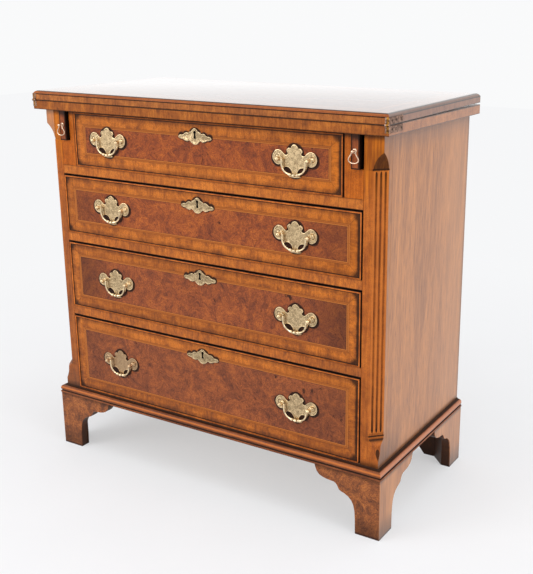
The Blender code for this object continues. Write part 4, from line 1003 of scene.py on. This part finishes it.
def rim_rings(edge, levels):
    """Rings inside a closed outline, each drawn in by its distance and raised to its reach. Where another
    part of the outline that faces back lies closer, the ring is drawn in less and never crosses itself."""
    ahead, behind = np.roll(edge, -1, axis=0), np.roll(edge, 1, axis=0)
    run = ahead - behind
    run /= np.linalg.norm(run, axis=1, keepdims=True)
    clockwise = np.sum(edge[:, 0] * ahead[:, 1] - ahead[:, 0] * edge[:, 1]) < 0
    inward = run[:, ::-1] * (1, -1) if clockwise else run[:, ::-1] * (-1, 1)
    apart = np.linalg.norm(edge[:, None] - edge[None], axis=2)
    room = 0.30 * np.where(inward @ inward.T < 0.0, apart, 1.0).min(axis=1)
    for smoothing in range(3):
        inward = (np.roll(inward, 1, axis=0) + inward + np.roll(inward, -1, axis=0)) / 3
    rings = []
    for distance, reach in levels:
        drawn = np.minimum(distance, room)
        for smoothing in range(8):
            drawn = np.minimum(drawn, (np.roll(drawn, 1) + drawn + np.roll(drawn, -1)) / 3)
        flat = edge + inward * drawn[:, None]
        rings.append(np.stack([flat[:, 0], np.full(len(edge), -reach), flat[:, 1]], axis=-1))
    return np.stack(rings)


def turned(profile, centre, sides=24):
    """Body turned about a line toward the front through centre: the profile holds radius and reach."""
    radius, reach = np.array(profile).T
    angle = np.linspace(0, 2 * math.pi, sides, endpoint=False)
    spokes = np.stack([np.cos(angle), np.zeros(sides), np.sin(angle)], axis=-1)
    return np.asarray(centre) + radius[:, None, None] * spokes - reach[:, None, None] * (0, 1, 0)


def ball(radius, middle, start, steps=9):
    """Half-round profile of a ball, from the angle start to its far pole."""
    angle = np.linspace(start, math.pi / 2 - 0.03, steps)
    return np.stack([radius * np.cos(angle), middle + radius * np.sin(angle)], axis=-1)


def swept(path, radius, sides=12, closed=False):
    """Round wire along a flat path of x and z: each ring stands square to the path with its own radius."""
    run = np.roll(path, -1, axis=0) - np.roll(path, 1, axis=0) if closed else np.gradient(path, axis=0)
    run /= np.linalg.norm(run, axis=1, keepdims=True)
    side = np.stack([-run[:, 1], np.zeros(len(run)), run[:, 0]], axis=-1)
    angle = np.linspace(0, 2 * math.pi, sides, endpoint=False)
    round_path = (np.cos(angle)[None, :, None] * side[:, None]
                  + np.sin(angle)[None, :, None] * np.array([0, 1, 0]))
    middle = np.stack([path[:, 0], np.zeros(len(path)), path[:, 1]], axis=-1)
    rings = middle[:, None] + np.asarray(radius)[:, None, None] * round_path
    return np.concatenate([rings, rings[:1]]) if closed else rings


bail_half_width, bail_drop, bead_radius, pin_radius = 0.0238, 0.0265, 0.0028, 0.00095
bail_shares = (
    (0.0, 1.0, 1.0), (0.05, 0.999, 0.97), (0.10, 0.996, 0.80), (0.14, 0.992, 0.42), (0.18, 0.986, 0.42),
    (0.24, 0.978, 0.88), (0.30, 0.967, 1.0), (0.38, 0.950, 0.90), (0.50, 0.915, 0.66), (0.65, 0.855, 0.60),
    (0.80, 0.75, 0.60), (0.92, 0.60, 0.62), (0.985, 0.42, 0.62), (1.0, 0.25, 0.60), (0.99, 0.10, 0.62),
    (1.01, 0.03, 0.64))


def bail_rings():
    """The bail's wire through its shares, mirrored, with its pins turned outward into the posts."""
    half = np.array(bail_shares) * (bail_half_width, -bail_drop, bead_radius)
    pins = [(0.0252, -0.0001, 0.0013), (0.0268, 0.0, pin_radius), (0.0313, 0.0, pin_radius)]
    half = np.concatenate([half, pins])
    whole = spline(np.concatenate([half[:0:-1] * (-1, 1, 1), half]), 5)
    neck = np.clip(2.4 * (1 - abs(abs(whole[:, 0]) - 0.16 * bail_half_width) / 0.0012), 0, 2.2)
    neck = np.where(whole[:, 1] < -0.9 * bail_drop, neck, 0.0)
    return swept(whole[:, :2], whole[:, 2]), np.repeat(neck, 12)


plate_rings = rim_rings(outline(plate_shares, plate_half_width, plate_height, 6), (
    (0.0, plate_back), (0.0, plate_face - 0.0006), (0.0002, plate_face - 0.0001), (0.0006, plate_face),
    (0.0014, plate_face), (0.0018, plate_face - 0.0004), (0.0021, plate_face - 0.0006),
    (0.0024, plate_face - 0.0006)))
plate_deep = np.repeat([0.6, 0.2, 0.0, 0.0, 0.0, 1.2, 1.6, 0.8], plate_rings.shape[1])
wing_away, wing_rise = 0.0350, 0.0020
wing_profile = ((0.0072, plate_face - 0.0012), (0.0072, plate_face - 0.0006), (0.0066, plate_face - 0.0001),
                (0.0057, plate_face - 0.0001), (0.0051, plate_face - 0.0004), (0.0030, plate_face - 0.0005),
                (0.0020, plate_face - 0.0001), (0.0002, plate_face))
wing_deep = (1.5, 1.5, 0.0, 0.0, 1.5, 1.2, 0.2, 0.0)
post_profile = np.concatenate([
    [(0.0050, 0.0010), (0.0050, 0.0020), (0.0046, 0.0026), (0.0036, 0.0030), (0.0031, 0.0036),
     (0.0029, 0.0046), (0.0029, 0.0062), (0.0025, 0.0070), (0.0024, 0.0074)], ball(0.0038, 0.0102, -0.88)])
post_deep = np.clip(0.8 - (post_profile[:, 1] - 0.0020) / 0.0030, 0, 0.8)
deep = [plate_deep] + [np.repeat(post_deep, 24)] * 2 + [np.repeat(wing_deep, 24)] * 2
bail, neck = bail_rings()
plate_brass = aged_brass("plate_brass", (0.95, 0.72, 0.42), "deep", 0.30, engraved=True)
bail_brass = aged_brass("bail_brass", (0.90, 0.71, 0.45), "neck", 0.24)
for number, handle_height in enumerate(handle_heights, start=1):
    for side_name, side in (("left", -1), ("right", 1)):
        name = "drawer_%d_%s" % (number, side_name)
        middle = np.array([brass_offset + side * handle_spread, front_y, handle_height])
        posts = [turned(post_profile, middle + (foot * post_spacing / 2, 0, 0)) for foot in (-1, 1)]
        wings = [turned(wing_profile, middle + (foot * wing_away, 0, wing_rise)) for foot in (-1, 1)]
        shells = [skin(plate_rings + middle)] + [skin(shape) for shape in posts + wings]
        made(name + "_handle_plate", shells, "drawer_%d" % number, [name + "_plate"], "brass", plate_brass,
             38.0, deep=deep)
        made(name + "_swan_neck", [skin(bail + middle - (0, pivot_reach, 0))], name + "_bail",
             [name + "_bail"], "brass", bail_brass, 60.0, neck=[neck])

# Escutcheons
# Cast brass keyhole plates pinned at the middle of each front near its top, with a rim round the outline
# and round the keyhole and an engraved field between them.

escutcheon_half_width, escutcheon_height = 0.0373, 0.0292
key_head, key_foot, key_waist, key_length = 0.0030, 0.0027, 0.0019, 0.0150
escutcheon_shares = (
    (0.0, 0.397), (0.06, 0.385), (0.12, 0.329), (0.188, 0.24), (0.25, 0.19), (0.335, 0.158),
    (0.382, 0.082), (0.44, 0.103), (0.52, 0.11), (0.61, 0.065), (0.69, -0.017), (0.76, -0.045),
    (0.86, -0.048), (0.945, -0.082), (1.0, -0.165), (0.965, -0.24), (0.88, -0.285), (0.72, -0.315),
    (0.64, -0.375), (0.55, -0.41), (0.45, -0.42), (0.36, -0.362), (0.28, -0.405), (0.2, -0.5),
    (0.11, -0.575), (0.0, -0.603))


def keyhole():
    """Keyhole round the origin: arcs of its head and foot meet at the waist; right half, then the left."""
    top, bottom = key_length / 2 - key_head, -key_length / 2 + key_foot
    head = np.linspace(math.pi / 2, -math.pi / 2 + math.asin(key_waist / key_head), 10)
    foot = np.linspace(math.pi / 2 - math.asin(key_waist / key_foot), -math.pi / 2, 8)
    right = np.concatenate([
        np.stack([key_head * np.cos(head), top + key_head * np.sin(head)], -1),
        np.stack([key_foot * np.cos(foot), bottom + key_foot * np.sin(foot)], -1)])
    right[0, 0] = right[-1, 0] = 0.0
    return np.concatenate([right, right[-2:0:-1] * (-1, 1)])


def escutcheon():
    """Plate between its outline and the keyhole: rim rings outside, a rim round the hole, and a field that is
    two faces, one on each side, so that the hole stays open."""
    edge = outline(escutcheon_shares, escutcheon_half_width, escutcheon_height, 5)
    outer = rim_rings(edge, ((0.0, 0.0003), (0.0, 0.0013), (0.0002, 0.0017), (0.0005, 0.0018),
                             (0.0009, 0.0018), (0.0012, 0.0014), (0.0015, 0.0013)))
    hole = keyhole()
    inner = rim_rings(hole, tuple((-away, reach) for away, reach in (
        (0.0011, 0.0013), (0.0008, 0.0016), (0.0004, 0.0017), (0.0, 0.0015), (0.0, 0.0003))))
    outer_points, outer_faces = skin(outer, capped=False)
    inner_points, inner_faces = skin(inner, capped=False)
    shift = len(outer_points)
    around, about = outer.shape[1], inner.shape[1]
    faces = outer_faces + [[corner + shift for corner in face] for face in inner_faces]
    for outer_row, inner_row in ((outer.shape[0] - 1, 0), (0, inner.shape[0] - 1)):
        outer_start, inner_start = outer_row * around, shift + inner_row * about
        for half in (0, 1):
            outside = [outer_start + (half * around // 2 + step) % around for step in range(around // 2 + 1)]
            inside = [inner_start + (half * about // 2 + step) % about for step in range(about // 2 + 1)]
            faces.append(outside + inside[::-1])
    # The last keyhole ring, on the hole's wall, is marked for painted shade.
    deep = np.concatenate([np.repeat([0.6, 0.2, 0.0, 0.0, 0.0, 0.8, 1.0], around),
                           np.repeat([1.0, 0.3, 0.0, 0.6, 3.0], about)])
    return np.concatenate([outer_points, inner_points]), faces, deep


key_points, key_faces, key_deep = escutcheon()
key_brass = aged_brass("escutcheon_brass", (0.78, 0.60, 0.36), "deep", 0.34, engraved=True)
for number, key_height in enumerate(key_heights, start=1):
    name = "drawer_%d_escutcheon" % number
    middle = np.array([brass_offset, front_y, key_height])
    made(name + "_cast", [(key_points + middle, key_faces)], "drawer_%d" % number, [name], "brass", key_brass,
         38.0, deep=[key_deep])

# Drop rings
# A small pear-shaped ring hangs from a ball-ended post in each loper, to pull it out by. The post stands on a
# turned rosette, and both are brass rubbed bright.

loper_low, loper_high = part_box("right_loper")
loper_middle = (loper_low.x + loper_high.x) / 2
ring_height = loper_high.z - 0.028
ring_half_width, ring_drop, ring_wire, ring_pivot = 0.0092, 0.0194, 0.00105, 0.0052
ring_top_half, ball_middle = 0.00223, 0.00875
ring_shares = (
    (0.24, 0.0), (0.36, 0.04), (0.42, 0.14), (0.54, 0.3), (0.8, 0.47), (0.98, 0.64), (0.96, 0.8),
    (0.72, 0.92), (0.38, 0.985), (0.0, 1.0))
right_ring = np.array(ring_shares) * (ring_half_width, -ring_drop)
ring_path = np.concatenate([spline(np.concatenate([right_ring, right_ring[-2::-1] * (-1, 1)]), 5),
                            np.linspace((-ring_top_half, 0.0), (ring_top_half, 0.0), 6)[1:-1]])
ring_wire_rings = swept(ring_path, np.full(len(ring_path), ring_wire), closed=True)
rosette_profile = np.concatenate([
    [(0.0041, 0.0003), (0.0041, 0.0009), (0.0036, 0.0013), (0.0029, 0.0014), (0.0024, 0.0019),
     (0.0021, 0.0026), (0.0021, 0.0038), (0.0017, 0.0043), (0.0017, 0.0064)],
    ball(0.0027, ball_middle, -0.85)])
ring_brass = aged_brass("ring_brass", (0.86, 0.62, 0.44), None, 0.24)
for side_name, side in (("left", -1), ("right", 1)):
    middle = np.array([side * loper_middle, loper_low.y, ring_height])
    made(side_name + "_ring_rosette", [skin(turned(rosette_profile, middle, 20))], side_name + "_loper",
         [side_name + "_loper_ring_post"], "brass", ring_brass, 38.0)
    made(side_name + "_drop_ring", [skin(ring_wire_rings + middle - (0, ring_pivot, 0), capped=False)],
         side_name + "_loper_ring", [side_name + "_loper_ring"], "brass", ring_brass, 60.0)

# Floor, light and camera
# A seamless pale sweep under soft light from above and both sides. The floor keeps the chest's shadow near it
# and runs out to the background's white; the camera stands to the right, a little over the top's height.

floor_half = 7.0
floor_mesh = bpy.data.meshes.new("sweep")
corners = [(x * floor_half, y * floor_half, 0) for x, y in ((-1, -1), (1, -1), (1, 1), (-1, 1))]
floor_mesh.from_pydata(corners, [], [(0, 1, 2, 3)])
linked("sweep", floor_mesh)
paper = Polish("sweep_paper", 0.9, Specular_IOR_Level=0.1)
cloth = paper.cloud(3.0, 4.0, 0.6)
paper.laid(paper.tones(cloth, (0.3, (0.80, 0.81, 0.84)), (0.7, (0.83, 0.84, 0.87))), 0.9, cloth, 0.05, 0.001)


def seen_ray(nodes):
    """1 for a ray from the camera, in a mirror or through glass, and 0 for one that only lights."""
    rays = nodes.node("LightPath").outputs
    camera, mirror, glass = (Layer(nodes, rays["Is %s Ray" % kind])
                             for kind in ("Camera", "Glossy", "Transmission"))
    return larger(camera, larger(mirror, glass))


def blended(nodes, share, first, second, output):
    """Put second over first by share, and lead them to the output node."""
    blend = nodes.filled(nodes.node("MixShader"), 0, {0: share, 1: first, 2: second})
    nodes.feed(output.inputs["Surface"], blend)


away = paper.out("VectorMath", "Value", {"operation": "LENGTH"}, Vector=paper.place)
share = seen_ray(paper) * away.between(0.35, 1.7).scaled(0.50, 0.50)
white = paper.out("Emission", 0, Color=(0.925, 0.930, 0.940), Strength=1.0)
blended(paper, share, Layer(paper, paper.shader.outputs[0]), white, paper.tree.nodes["Material Output"])
floor_mesh.materials.append(paper.material)

world = bpy.data.worlds.new("studio")
bpy.context.scene.world = world
world.use_nodes = True
world.node_tree.nodes.clear()
studio = Nodes(world.node_tree)
backdrop = studio.out("Background", 0, Color=(0.95, 0.955, 0.96))
ambient = studio.out("Background", 0, Color=(1.0, 0.995, 0.985), Strength=0.62)
blended(studio, seen_ray(studio), ambient, backdrop, studio.node("OutputWorld"))


def softbox(name, place, target, size, power):
    """A large soft lamp at place, turned toward target."""
    lamp = bpy.data.lights.new(name, "AREA")
    lamp.shape = "RECTANGLE"
    lamp.size, lamp.size_y = size
    lamp.energy = power
    box = linked(name, lamp)
    box.location = place
    box.rotation_mode = "QUATERNION"
    box.rotation_quaternion = (Vector(target) - Vector(place)).to_track_quat("-Z", "Y")
    return box


softbox("overhead", (0.2, -0.3, 3.0), (0.0, 0.0, 0.3), (3.0, 2.6), 40.0)
softbox("front_left", (-1.9, -2.6, 1.7), (0.0, 0.0, 0.4), (1.8, 1.8), 44.0)
softbox("right", (2.7, -0.3, 1.9), (0.3, 0.0, 0.4), (1.6, 1.8), 26.0)
gloss_card = softbox("gloss_card", (-3.0, 4.5, 1.3), (-3.0, 0.0, 1.3), (8.0, 2.4), 11.8)
gloss_card.visible_diffuse = False
gloss_card.visible_camera = False

yaw, pitch, roll = math.radians(30.2774), math.radians(-15.8259), math.radians(0.1871)
focal_pixels, middle_pixel = 916.548, (326.75, 267.09)
picture_width, picture_height = 533, 574
forward = np.array([-math.sin(yaw) * math.cos(pitch), math.cos(yaw) * math.cos(pitch), math.sin(pitch)])
level = np.array([math.cos(yaw), math.sin(yaw), 0.0])
upright = np.cross(level, forward)
right = math.cos(roll) * level + math.sin(roll) * upright
up = math.cos(roll) * upright - math.sin(roll) * level
lens = bpy.data.cameras.new("camera")
lens.sensor_width = 36.0
lens.lens = focal_pixels / picture_height * 36.0
lens.shift_x = (picture_width / 2 - middle_pixel[0]) / picture_height
lens.shift_y = (middle_pixel[1] - picture_height / 2) / picture_height
stand = Matrix(np.column_stack([right, up, -forward]).tolist()).to_4x4()
stand.translation = (1.0264, -1.4723, 0.9138)
camera = linked("camera", lens)
camera.matrix_world = stand
bpy.context.scene.camera = camera
bpy.context.scene.view_settings.view_transform = "Standard"
